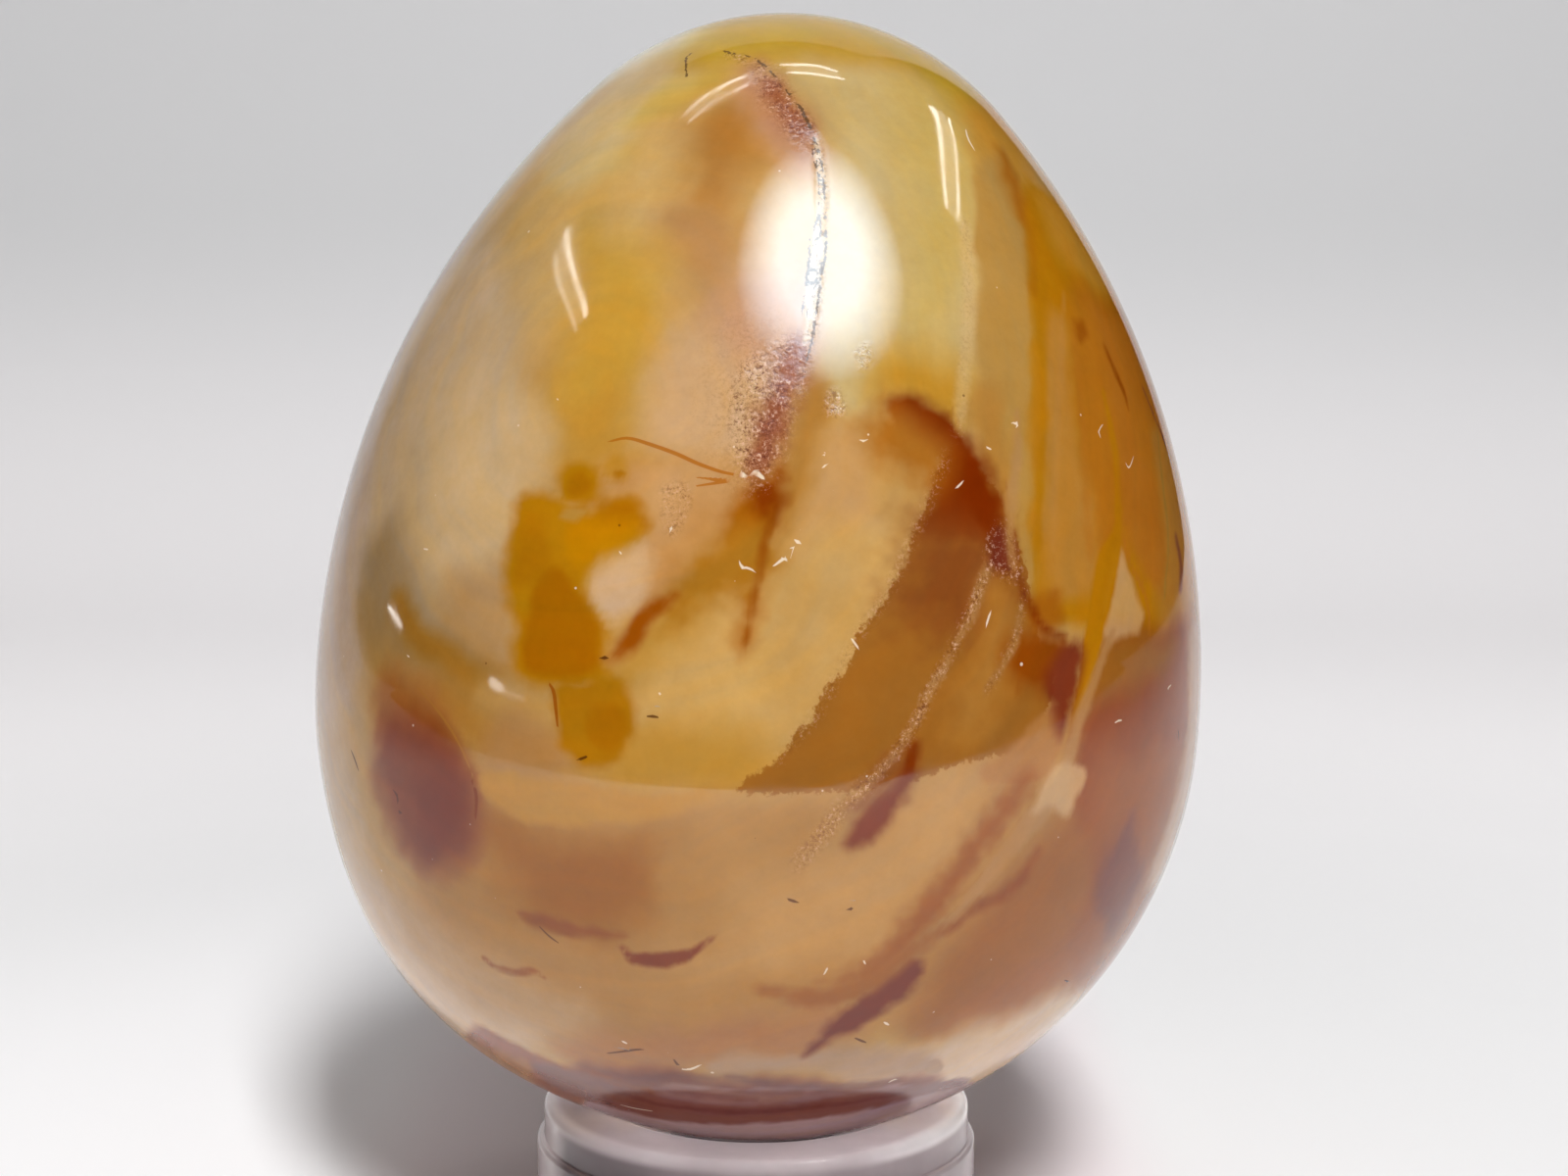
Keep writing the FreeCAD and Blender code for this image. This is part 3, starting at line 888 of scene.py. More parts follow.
# Where fine crystals sparkle and darken the stone
GRAIN = [
    patch("beside the seam", "heather", 0.9, 14,
        "812,345 828,350 818,395 806,430 794,470 773,498 752,470 745,420 760,370"),
    patch("wide of the seam", "heather", 0.18, 30,
        "740,330 800,330 790,420 760,500 730,480 715,420"),
    patch("seam crown", "heather", 0.9, 12,
        "768,66 786,70 804,92 827,125 834,148 814,146 796,124 776,98"),
    stroke("seam", "heather", 0.8, 4, 10,
        "745,56 775,68 800,95 829,138 838,180 840,230 836,290 828,340 814,395"),
    stroke("fringe", "heather", 0.16, 5, 16, "986,228 988,290 987,350 981,400 978,440"),
    stroke("toffee edge", "heather", 0.4, 6, 10,
        "965,465 952,500 930,550 905,605 875,650 850,697 828,735 795,775"),
    stroke("crystal line", "heather", 0.8, 4, 10,
        "1022,545 1000,600 976,655 950,703 930,745 900,785 870,815"),
    stroke("crystal line side", "heather", 0.5, 4, 8, "1046,600 1036,650 1008,705"),
    patch("star", "heather", 0.7, 4, "1005,570 1012,540 1026,532 1044,590 1018,588"),
    patch("pale crystals a", "heather", 0.8, 4, "845,400 858,402 864,420 850,425 842,415"),
    patch("pale crystals b", "heather", 0.5, 4, "872,360 886,350 890,366 880,376"),
    patch("pale crystals c", "heather", 0.5, 5, "675,500 695,490 705,510 690,545 680,540"),
    stroke("low pale crystals", "heather", 0.5, 5, 16, "885,800 862,822 840,850 815,880"),
]

# Fibres, dust, pits and cracks: colour and width in photograph pixels, then the lines
HAIRS = {
    ("crack", 1.8): (
        "701,84 700,68 701,57 707,54", "738,52 750,55 765,58 776,64 786,72 797,86 806,96",
        "829,148 831,165 836,180 836,205 834,225 826,245 826,262 823,285 820,310 818,322",
        "834,146 838,165 841,190 842,220 843,245 841,268 837,292 833,318 829,345 822,372",
        "824,281 828,274 834,276 834,285 828,289 824,281",
    ),
    ("crack", 2.5): (
        "806,96 816,108 823,122 829,135 832,144",
    ),
    ("crack", 1.4): (
        "826,247 833,243 841,239",
    ),
    ("curve_orange", 4): (
        "620,451 640,447 662,453 690,463 712,473 738,482 762,486",
    ),
    ("curve_orange", 3): (
        "710,496 730,493 750,490 768,486",
    ),
    ("maroon_red", 4): (
        "480,790 486,812 485,838",
    ),
    ("copper", 3): (
        "425,700 448,727 468,758 484,795",
    ),
    ("hair_pale", 2.2): (
        "985,130 988,142 995,154", "974,500 979,495 984,490", "877,449 881,450 886,448",
        "868,650 872,656 877,663", "754,570 757,580 763,579 771,584",
        "1196,698 1192,702 1191,707", "1137,738 1142,735 1145,735", "704,762 706,762",
        "797,575 799,568", "838,478 846,472", "840,461 842,462", "1032,432 1040,430 1036,438",
        "1006,456 1012,459", "632,562 634,566", "1012,622 1008,632 1006,642",
        "845,985 843,991 840,995", "881,979 883,984", "951,1033 954,1032",
        "906,1105 911,1102 916,1101", "415,668 418,671", "432,560 438,561", "568,407 570,408",
        "665,319 667,319",
    ),
    ("hair_pale", 1.5): (
        "1126,432 1121,440 1123,447", "1157,465 1152,478 1148,470", "632,1127 648,1131 667,1134",
    ),
    ("hair_pale", 3.0): (
        "672,708 675,708", "757,480 762,490 770,480", "770,492 775,482 780,490",
        "683,545 686,535", "789,578 800,570 804,572", "847,500 850,500",
        "695,1091 705,1091 716,1086", "634,1062 640,1065", "902,1043 907,1046",
        "873,906 876,906",
    ),
    ("hair_pale", 3.8): (
        "811,551 817,555",
    ),
    ("hair_dark", 4): (
        "612,672 616,671 621,672", "406,828 410,830", "864,928 871,927",
    ),
    ("red_amber", 4): (
        "560,697 565,706 567,722 569,742",
    ),
    ("hair_dark", 3): (
        "588,776 594,774 601,771", "660,731 666,731 672,732", "358,765 362,775 366,787",
        "401,806 406,813 405,822", "618,1075 635,1073 650,1071 657,1071",
        "687,1080 691,1086 696,1089", "803,917 808,919 815,921", "872,1059 879,1062 884,1064",
        "1086,1000 1091,1002 1093,1000",
    ),
    ("hair_dark", 2): (
        "1202,745 1203,752 1202,758", "550,945 560,955 571,963",
    ),
}

# The soft box, as it shows on the stone: middle, left, right, top and bottom
SOFT_BOX = "838,262 744,248 932,276 820,134 856,392"

# Lamp strips, as they show on the stone: width in photograph pixels, glow and line
STRIPS = [
    ("strip_top_left_a", 3, 9, "697,118 720,98 750,82 780,72"),
    ("strip_top_left_b", 3, 7, "702,125 725,106 750,92 780,80"),
    ("strip_top_left_fill", 7, 0.8, "702,120 724,101 752,86 779,76"),
    ("strip_top_a", 3, 8, "795,66 830,67 855,73"),
    ("strip_top_b", 3, 9, "803,74 830,75 862,81"),
    ("strip_top_fill", 7, 1.2, "802,70 830,71 856,77"),
    ("strip_left_a", 8, 10, "578,234 579,255 583,275 589,295 596,312 597,324"),
    ("strip_left_b", 7, 4, "566,258 570,285 580,311 588,338"),
    ("strip_left_fill", 14, 1.2, "573,250 576,276 585,304 592,330"),
    ("strip_right_a", 7, 9, "948,107 957,120 962,150 964,180 966,213"),
    ("strip_right_b", 4, 9, "968,120 974,150 976,180 978,210 976,226"),
    ("strip_right_fill", 13, 1.8, "958,113 966,136 969,165 971,195 972,220"),
    ("glint_left", 10, 7, "500,692 506,699 514,704"),
    ("glint_left_tail", 4, 4, "508,702 522,709 536,713"),
    ("glint_far_left", 5, 9, "396,618 404,630 410,641"),
]


def display(colour):
    """Display values of a named stone colour."""
    return np.array(getattr(bpy.context.scene.egg_colours, colour))


def linear(values):
    """Light values of display values, by the sRGB curve."""
    values = np.clip(values, 0, 1)
    return np.where(values <= 0.04045, values / 12.92, ((values + 0.055) / 1.055) ** 2.4)


def cloud_over(colours, marks, chart, flat):
    """Lays soft marks over a colour field in turn."""
    for mark in marks:
        edge = mark.edge / PIXELS_PER_MM
        cover = blend_in(depth_in(mark, chart, flat, 1.1 * edge), edge)[:, None] * mark.strength
        colours = colours * (1 - cover) + display(mark.colour) * cover
    return colours


def layer_over(colours, marks, chart, flat):
    """A layer of marks with cut edges, over a colour field.

    Gives its colours, which outside the marks are those of the nearest one, and for the material to cut
    with: depth into the nearest mark and the raggedness of its edge, both as shares of its softness.
    """
    depths, fills = [], []
    nearest = np.full(len(flat), -np.inf)
    field = colours.copy()
    jag = np.zeros(len(flat))
    for mark in marks:
        edge = mark.edge / PIXELS_PER_MM
        depth = depth_in(mark, chart, flat, 2 * edge + mark.jag + 1.0) / edge
        fill = colours * (1 - mark.strength) + display(mark.colour) * mark.strength
        closer = depth > nearest
        nearest = np.where(closer, depth, nearest)
        jag = np.where(closer, mark.jag / edge, jag)
        field = np.where(closer[:, None], fill, field)
        depths.append(depth)
        fills.append(fill)
    for depth, fill in zip(depths, fills):
        cover = blend_in(depth, 1.0)[:, None]
        field = field * (1 - cover) + fill * cover
    return field, nearest, jag


def grain_of(marks, chart, flat):
    """0 to 1 where fine crystals show."""
    grain = np.zeros(len(flat))
    for mark in marks:
        edge = mark.edge / PIXELS_PER_MM
        grain = np.maximum(grain, mark.strength * blend_in(depth_in(mark, chart, flat, 1.1 * edge), edge))
    return grain


def hairs_on(hairs, chart, flat):
    """Signed distance of map places to the nearest hair's line, its half width and colour, and 1 for a crack.

    The half width falls below nothing past a hair's ends and far from every hair.
    """
    reach = 0.7
    across = np.full(len(flat), reach)
    half = np.full(len(flat), -1.0)
    nearest = np.full(len(flat), reach)
    colours = np.full((len(flat), 3), 0.5)
    broken = np.zeros(len(flat))
    for colour, width, path in [(*kind, path) for kind, paths in hairs.items() for path in paths]:
        line = chart.of_pixels(smooth_path(pixels_of(path), False, 3))
        near = np.flatnonzero(np.all((flat > line.min(0) - reach) & (flat < line.max(0) + reach), axis=1))
        place = flat[near]
        steps = np.linspace(0, 1, len(line))
        for index, (start, end) in enumerate(zip(line[:-1], line[1:])):
            run = end - start
            size = np.linalg.norm(run)
            along = (place - start) @ run / size
            share = np.clip(along / size, 0, 1)
            off = place - start - share[:, None] * run
            distance = np.hypot(off[:, 0], off[:, 1])
            side = np.sign(run[0] * (place[:, 1] - start[1]) - run[1] * (place[:, 0] - start[0]))
            travel = steps[index] + (steps[index + 1] - steps[index]) * share
            taper = np.sqrt(np.sin(math.pi * (0.06 + 0.88 * travel)))
            past = np.maximum(np.maximum(-along, along - size), 0)
            last = index == len(line) - 2
            past = np.where((along < 0) & (index > 0) | (along > size) & (not last), 0, past)
            closer = distance < nearest[near]
            spots = near[closer]
            nearest[spots] = distance[closer]
            across[spots] = (side * distance)[closer]
            half[spots] = (width / 2 / PIXELS_PER_MM * taper - past)[closer]
            colours[spots] = display(colour)
            broken[spots] = colour == "crack"
    return across, half, colours, broken


# Mesh building

def new_mesh(name, points, faces):
    mesh = bpy.data.meshes.new(name)
    mesh.from_pydata(points.tolist(), [], faces)
    mesh.shade_smooth()
    mesh.update()
    piece = bpy.data.objects.new(name, mesh)
    bpy.context.scene.collection.objects.link(piece)
    return piece


def grid_faces(rows, columns, first=0):
    """Quads between the rows of a grid whose columns close into rings, as index arrays."""
    row, column = np.meshgrid(np.arange(rows - 1), np.arange(columns), indexing="ij")
    here, there = row * columns + column, row * columns + (column + 1) % columns
    return (np.stack([here, there, there + columns, here + columns], -1).reshape(-1, 4) + first).tolist()


def turned(radius, height, turn):
    """Places of an outline's rows, each carried through the given turns about the Z axis."""
    round_x, round_y = np.cos(turn), np.sin(turn)
    places = [np.outer(radius, round_x), np.outer(radius, round_y), np.outer(height, np.ones_like(turn))]
    return np.stack(places, -1)


def egg_grid(form):
    """Points and faces of the egg: the outline turned about its axis.

    Columns stand closer together on the front. The two ends are single points that close the mesh.
    """
    sizes = bpy.context.scene.egg_sizes
    along = np.linspace(0, form.lengths[-1], sizes.rows + 2)
    radius, height, slope = form.outline(along)
    front = np.linspace(-math.pi, 0, sizes.front_columns, endpoint=False)
    back = np.linspace(0, math.pi, sizes.back_columns, endpoint=False)
    turn = np.concatenate([front, back])
    ring = slice(1, -1)
    local = turned(radius[ring], height[ring], turn).reshape(-1, 3)
    normal = turned(np.cos(slope[ring]), np.sin(slope[ring]), turn).reshape(-1, 3)
    local = np.concatenate([[[0, 0, height[0]]], local, [[0, 0, height[-1]]]])
    normal = np.concatenate([[[0, 0, -1.0]], normal, [[0, 0, 1.0]]])
    columns = len(turn)
    faces = grid_faces(sizes.rows, columns, 1)
    last = len(local) - 1
    rim = np.arange(columns)
    following = (rim + 1) % columns
    faces += np.stack([np.zeros_like(rim), following + 1, rim + 1], 1).tolist()
    faces += np.stack([np.full_like(rim, last), last - columns + rim, last - columns + following], 1).tolist()
    points, normal = form.place(local), normal @ form.turn.T
    return points + normal * (heel_bulge(form, points) - hollows(form, points))[:, None], faces


def hollows(form, points):
    """Depth below the polished surface: a groove along the seam, and random pits where fine crystals show."""
    sizes = bpy.context.scene.egg_sizes
    chart = Chart(form)
    flat, front = chart.flatten(points)
    pits = np.random.default_rng(8).uniform(0, 1, len(flat))
    groove = blend_in(depth_in(SEAM, chart, flat, 1.0), 0.4)
    return front * (sizes.fissure_depth * groove + sizes.druse_relief * pits * grain_of(GRAIN, chart, flat))


def heel_bulge(form, points):
    """Outward shift of egg points: a bump that falls by the smooth cubic from its middle low on the left."""
    away = points - form.centre
    away /= np.linalg.norm(away, axis=1, keepdims=True)
    middle = np.array([-0.76, -0.12, -0.64])
    off_middle = np.arccos(np.clip(away @ middle / np.linalg.norm(middle), -1, 1))
    reach = math.radians(34)
    return bpy.context.scene.egg_sizes.heel_bulge * smooth(np.clip(1 - off_middle / reach, 0, 1))


# Materials

def node(tree, kind, inputs=None, **settings):
    """A shader node with its settings, whose inputs are values or linked sockets."""
    made = tree.nodes.new("ShaderNode" + kind)
    for key, value in settings.items():
        setattr(made, key, value)
    for key, value in (inputs or {}).items():
        if isinstance(value, bpy.types.NodeSocket):
            tree.links.new(value, made.inputs[key])
        else:
            made.inputs[key].default_value = value
    return made


def new_material(name):
    material = bpy.data.materials.new(name)
    material.use_nodes = True
    material.node_tree.nodes.clear()
    return material, material.node_tree


def finish_material(tree, shader):
    output = node(tree, "OutputMaterial")
    tree.links.new(shader.outputs[0], output.inputs["Surface"])


def noise(tree, place, size, detail=2.0, roughness=0.5):
    """Noise whose spots are about the given size in millimetres."""
    inputs = {"Vector": place, "Scale": 1 / (size * MM), "Detail": detail, "Roughness": roughness}
    return node(tree, "TexNoise", inputs).outputs["Fac"]


def math_node(tree, operation, a, b=0.0, c=0.0):
    return node(tree, "Math", {0: a, 1: b, 2: c}, operation=operation).outputs[0]


def product(tree, first, *others):
    for other in others:
        first = math_node(tree, "MULTIPLY", first, other)
    return first


def total(tree, first, *others):
    for other in others:
        first = math_node(tree, "ADD", first, other)
    return first


def ramp(tree, value, low, high, to_low=0.0, to_high=1.0):
    """Smooth step of a value between two limits."""
    made = node(
        tree,
        "MapRange",
        {"Value": value, "From Min": low, "From Max": high, "To Min": to_low, "To Max": to_high},
        interpolation_type="SMOOTHSTEP",
    )
    return made.outputs["Result"]


def mix(tree, share, below, above):
    made = node(tree, "Mix", data_type="RGBA")
    for index, value in ((0, share), (6, below), (7, above)):
        if isinstance(value, bpy.types.NodeSocket):
            tree.links.new(value, made.inputs[index])
        else:
            made.inputs[index].default_value = value
    return made.outputs[2]


def paint(colour):
    """A named stone colour as a shader takes it."""
    return (*linear(display(colour)), 1)


def attribute(tree, name, output="Fac"):
    return node(tree, "Attribute", attribute_name=name).outputs[output]


def spread_of(tree, value, reach):
    """A noise value turned into one from minus to plus the reach."""
    return math_node(tree, "MULTIPLY_ADD", value, 4 * reach, -2 * reach)


def flow_noise(tree, flow, scale):
    """Noise drawn out along the stone's bands."""
    inputs = {"Vector": flow, "Scale": scale, "Detail": 2.0, "Roughness": 0.5}
    return node(tree, "TexNoise", inputs).outputs["Fac"]


def mottled(tree, place, colour):
    """Cloudiness, sugar-like grain and streaks along the bands, that change a colour's tone and its warmth.

    The streaks are noise over the flow attribute, which changes fast across the bands and slowly along them.
    """
    flow = attribute(tree, "flow", "Vector")
    broad, fine = [flow_noise(tree, flow, scale) for scale in (0.8, 2.3)]
    tone = total(
        tree,
        spread_of(tree, noise(tree, place, 4.0, 5.0, 0.6), 0.08),
        1.0,
        spread_of(tree, noise(tree, place, 0.6, 3.0, 0.7), 0.035),
        spread_of(tree, broad, 0.06),
        spread_of(tree, fine, 0.015),
    )
    warm = spread_of(tree, noise(tree, place, 2.6, 4.0, 0.65), 0.16)
    warm = total(tree, warm, spread_of(tree, broad, 0.14))
    cooler = math_node(tree, "MULTIPLY_ADD", warm, -0.25, tone)
    coolest = math_node(tree, "SUBTRACT", tone, warm)
    shift = node(tree, "CombineXYZ", {0: tone, 1: cooler, 2: coolest}).outputs[0]
    return node(tree, "VectorMath", {0: colour, 1: shift}, operation="MULTIPLY").outputs[0]


def specks(tree, place, size, radius, share):
    """1 on small round dots, one in a share of the cells of a Voronoi pattern. Sizes are in millimetres."""
    cells = node(tree, "TexVoronoi", {"Vector": place, "Scale": 1 / (size * MM)})
    chosen = node(tree, "SeparateXYZ", {0: cells.outputs["Color"]})
    wide = math_node(tree, "MULTIPLY", chosen.outputs["Y"], radius / size)
    depth = math_node(tree, "SUBTRACT", wide, cells.outputs["Distance"])
    dot = ramp(tree, depth, -0.2 * radius / size, 0.2 * radius / size)
    return product(tree, dot, math_node(tree, "LESS_THAN", chosen.outputs["X"], share))


def hair_share(tree, place):
    """How far hairs cover the stone. A crack's line is bent by noise and broken by gaps."""
    broken = attribute(tree, "hair_broken")
    bent = product(tree, spread_of(tree, noise(tree, place, 0.16, 3.0, 0.7), 0.09), broken)
    off_line = math_node(tree, "ABSOLUTE", total(tree, attribute(tree, "hair_across"), bent))
    gap = product(tree, ramp(tree, noise(tree, place, 0.5, 2.0), 0.4, 0.5, 0.1, -0.02), broken)
    inside = math_node(tree, "SUBTRACT", attribute(tree, "hair_half"), total(tree, off_line, gap))
    return ramp(tree, inside, -0.025, 0.025, 0.0, 0.85)


def agate_material():
    """Painted layers cut one over another with ragged edges, then mottling, crystals, dust and hairs."""
    material, tree = new_material("polished_agate")
    place = node(tree, "TexCoord").outputs["Object"]
    colour = attribute(tree, "clouds", "Color")
    tooth = math_node(tree, "MULTIPLY_ADD", noise(tree, place, 0.3, 2.0, 0.6), 3.2, -1.6)
    wander = spread_of(tree, noise(tree, place, 1.1, 1.5, 0.5), 0.4)
    for name in LAYERS:
        ragged = product(tree, tooth, attribute(tree, name + "_jag"))
        share = ramp(tree, total(tree, attribute(tree, name + "_depth"), ragged, wander), -1.0, 1.0)
        colour = mix(tree, share, colour, attribute(tree, name, "Color"))
    colour = mottled(tree, place, colour)
    speckle = noise(tree, place, 0.2, 3.0, 0.8)
    patchy = ramp(tree, noise(tree, place, 0.8, 2.0), 0.3, 0.62, 0.35, 1.0)
    grain = product(tree, attribute(tree, "grain"), patchy)
    pale = product(tree, grain, ramp(tree, speckle, 0.55, 0.64))
    dark = product(tree, grain, ramp(tree, speckle, 0.4, 0.49, 1.0, 0.0))
    dust = product(tree, specks(tree, place, 1.1, 0.09, 0.16), 0.7)
    pits = product(tree, specks(tree, place, 1.7, 0.08, 0.12), 0.6)
    for share, tint in ((pale, "grain_pale"), (dark, "grain_dark"), (dust, "hair_pale"), (pits, "hair_dark")):
        colour = mix(tree, share, colour, paint(tint))
    colour = mix(tree, hair_share(tree, place), colour, attribute(tree, "hair", "Color"))
    relief = product(tree, grain, speckle)
    bump = node(tree, "Bump", {"Strength": 0.5, "Distance": 0.05 * MM, "Height": relief})
    smears = ramp(tree, noise(tree, place, 3.0, 5.0, 0.7), 0.35, 0.7, 0.035, 0.1)
    height = node(tree, "SeparateXYZ", {0: place}).outputs["Z"]
    dull_foot = ramp(tree, height, 17 * MM, 14 * MM, 0.0, 0.12)
    shader = node(
        tree,
        "BsdfPrincipled",
        {
            "Base Color": colour,
            "Roughness": total(tree, product(tree, grain, 0.12), smears, dull_foot),
            "IOR": 1.54,
            "Normal": bump.outputs[0],
            "Subsurface Weight": 0.15,
            "Subsurface Radius": (1.0, 0.6, 0.35),
            "Subsurface Scale": 2.5 * MM,
        },
    )
    finish_material(tree, shader)
    return material


def clear_plastic_material():
    """Moulded clear plastic gone milky: light from its lit sides wanders through it, under a glossy skin.

    The colour paints light and shade: the wall is in painted shade on the left and paler to the right, with a
    painted glint at its left edge; the rim is paler on top as painted light, shaded at its left end, and
    palest in two painted highlights on its outer edge.
    """
    colours = bpy.context.scene.ring_colours
    material, tree = new_material("clear_plastic")
    place = node(tree, "TexCoord").outputs["Object"]
    parts = node(tree, "SeparateXYZ", {0: place}).outputs
    across, height = parts["X"], parts["Z"]
    # Painted shade and light: darker on the left side, paler to the right.
    lit_to_right = ramp(tree, across, -12 * MM, 2 * MM)
    wall = mix(tree, lit_to_right, (*colours.shaded_wall_left, 1), (*colours.lit_wall_right, 1))
    # Painted highlight at the wall's left edge.
    edge_glint_share = ramp(tree, across, -10.4 * MM, -11.6 * MM)
    wall = mix(tree, edge_glint_share, wall, (*colours.wall_edge_glint, 1))
    lit_past_left = ramp(tree, across, -11.5 * MM, -6 * MM)
    rim = mix(tree, lit_past_left, (*colours.shaded_rim_left, 1), (*colours.rim, 1))
    cloud = mix(tree, ramp(tree, height, 9.0 * MM, 9.9 * MM), wall, rim)
    flat = node(tree, "VectorMath", {0: place, 1: (1, 1, 0)}, operation="MULTIPLY").outputs[0]
    radius = node(tree, "VectorMath", {0: flat}, operation="LENGTH").outputs["Value"]
    aside = math_node(tree, "ABSOLUTE", total(tree, across, -1 * MM))
    # Painted highlights: the rim's outer edge paler towards its left and right ends, most on the right.
    arcs = product(
        tree,
        ramp(tree, radius, 11.3 * MM, 11.9 * MM),
        ramp(tree, height, 9.1 * MM, 9.6 * MM),
        ramp(tree, aside, 4.5 * MM, 8 * MM),
        ramp(tree, across, -5 * MM, 5 * MM, 0.25, 0.9),
    )
    cloud = mix(tree, arcs, cloud, (*colours.rim_arc_highlights, 1))
    milk = ramp(tree, noise(tree, place, 4.0, 3.0), 0.3, 0.7, 0.86, 1.0)
    cloud = node(tree, "VectorMath", {0: cloud, 3: milk}, operation="SCALE").outputs[0]
    scuffs = ramp(tree, noise(tree, place, 0.7, 4.0, 0.6), 0.45, 0.75, 0.08, 0.2)
    shader = node(
        tree,
        "BsdfPrincipled",
        {
            "Base Color": cloud,
            "Roughness": scuffs,
            "IOR": 1.49,
            "Specular IOR Level": 0.3,
            "Subsurface Weight": 1.0,
            "Subsurface Radius": (1.0, 0.95, 0.97),
            "Subsurface Scale": 9.0 * MM,
            "Coat Weight": 0.2,
            "Coat Roughness": 0.04,
        },
    )
    finish_material(tree, shader)
    return material


def sweep_material():
    """Paper lit from behind, like the walls of a light tent: the glow grows with distance from the stand.

    It glows a little beside the stand too, on the left, where it lightens the shadow. The paper's colour has
    a painted pink tint in the shadow behind the stand, and dims far out at both sides.
    """
    material, tree = new_material("studio_paper")
    paper = linear(np.array(studio().sweep_colour))
    place = node(tree, "TexCoord").outputs["Object"]
    parts = node(tree, "SeparateXYZ", {0: place}).outputs
    across, depth, height = parts["X"], parts["Y"], parts["Z"]
    reach = node(tree, "VectorMath", {0: place}, operation="LENGTH").outputs["Value"]
    aside = math_node(tree, "ABSOLUTE", across)
    off_shadow = math_node(tree, "MAXIMUM", ramp(tree, aside, 0.02, 0.028), ramp(tree, reach, 0.04, 0.07))
    off_shadow = math_node(tree, "MAXIMUM", off_shadow, ramp(tree, depth, -0.002, 0.014, 1.0, 0.0))
    # Painted shadow tint: the paper made pinker where the shadow behind the stand falls.
    blush = paper * (0.98, 0.9, 0.915)
    colour = mix(tree, off_shadow, (*blush, 1), (*paper, 1))
    out_of_sight = math_node(tree, "SUBTRACT", aside, math_node(tree, "MULTIPLY_ADD", depth, 0.27, 0.045))
    colour = mix(tree, ramp(tree, out_of_sight, 0.08, 0.24, 0.0, 0.7), colour, (0, 0, 0, 1))
    grain = ramp(tree, noise(tree, place, 0.4, 3.0), 0.3, 0.7, 0.85, 1.0)
    far = ramp(tree, reach, 0.05, 0.2, 0.0, 0.2)
    near = ramp(tree, reach, 0.06, 0.11, 1.0, 0.0)
    left = product(tree, ramp(tree, across, -0.028, -0.01, 0.085, 0.0), near)
    glow = product(tree, total(tree, far, left), ramp(tree, height, 0.0, 0.06, 1.0, 0.0))
    shader = node(
        tree,
        "BsdfPrincipled",
        {
            "Base Color": colour,
            "Roughness": grain,
            "Specular IOR Level": 0.2,
            "Emission Color": (*studio().glow_colour, 1),
            "Emission Strength": glow,
        },
    )
    finish_material(tree, shader)
    return material


def glow_material(strength):
    name = f"lamp_glow_{strength}"
    material = bpy.data.materials.get(name)
    if material is None:
        material, tree = new_material(name)
        colour = (*studio().strip_colour, 1)
        finish_material(tree, node(tree, "Emission", {"Color": colour, "Strength": strength}))
    return material


def soften_light(light):
    """Fades an area light towards its rim, by distance from its middle."""
    light.use_nodes = True
    tree = light.node_tree
    spot = node(tree, "NewGeometry").outputs["Parametric"]
    off = node(tree, "VectorMath", {0: spot, 1: (0.5, 0.5, 0)}, operation="SUBTRACT").outputs[0]
    reach = node(tree, "VectorMath", {0: off}, operation="LENGTH").outputs["Value"]
    glow = math_node(tree, "DIVIDE", math_node(tree, "SUBTRACT", 0.5, reach), 0.27)
    glow = math_node(tree, "MINIMUM", math_node(tree, "MAXIMUM", glow, 0.0), 1.0)
    tree.links.new(glow, tree.nodes["Emission"].inputs["Strength"])


def store(mesh, name, values):
    """Puts one number or colour per vertex into a mesh attribute."""
    if values.ndim == 1:
        data = mesh.attributes.new(name, "FLOAT", "POINT").data
        data.foreach_set("value", values.astype(np.float32))
    else:
        full = np.column_stack([linear(values), np.ones(len(values))])
        data = mesh.attributes.new(name, "FLOAT_COLOR", "POINT").data
        data.foreach_set("color", full.astype(np.float32).ravel())


def store_vectors(mesh, name, values):
    data = mesh.attributes.new(name, "FLOAT_VECTOR", "POINT").data
    data.foreach_set("vector", values.astype(np.float32).ravel())


def paint_stone(mesh, chart, points):
    """Stores the stone's colours, the depths that cut them, its crystals, hairs and the run of its bands."""
    flat, front = chart.flatten(points)
    colours = np.tile(display("honey"), (len(points), 1))
    colours = cloud_over(colours, CLOUDS, chart, drift(drift(flat, 5.0, 0.32, 3), 1.6, 0.12, 4))
    store(mesh, "clouds", colours)
    crisp = drift(flat, 1.8, 0.05, 5)
    for name, marks in LAYERS.items():
        field, depth, jag = layer_over(colours, marks, chart, crisp)
        store(mesh, name, field)
        store(mesh, name + "_depth", np.clip(depth, -30, 30))
        store(mesh, name + "_jag", jag)
        share = blend_in(depth, 1.0)[:, None]
        colours = colours * (1 - share) + field * share
    store(mesh, "grain", grain_of(GRAIN, chart, flat) * front)
    across, half, tints, broken = hairs_on(HAIRS, chart, flat)
    store(mesh, "hair_across", across)
    store(mesh, "hair_half", np.where(front > 0, half, -1.0))
    store(mesh, "hair_broken", broken)
    store(mesh, "hair", tints)
    flow = drift(flat, 9.0, 0.5, 6) - chart.of_pixels([BAND_CENTRE])
    away = np.linalg.norm(flow, axis=1, keepdims=True)
    store_vectors(mesh, "flow", np.column_stack([away * 0.9, flow / np.maximum(away, 1) * 0.8]))


class MESH_OT_agate_egg(Operator):
    """Add the polished agate egg, blunt end down in its ring"""

    bl_idname = "mesh.agate_egg_add"
    bl_label = "Polished agate egg"

    def execute(self, context):
        form = EggForm()
        points, faces = egg_grid(form)
        piece = new_mesh("agate_egg", points, faces)
        paint_stone(piece.data, Chart(form), points)
        piece.data.materials.append(agate_material())
        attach(piece, "egg")
        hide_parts("stone_egg")
        return {"FINISHED"}


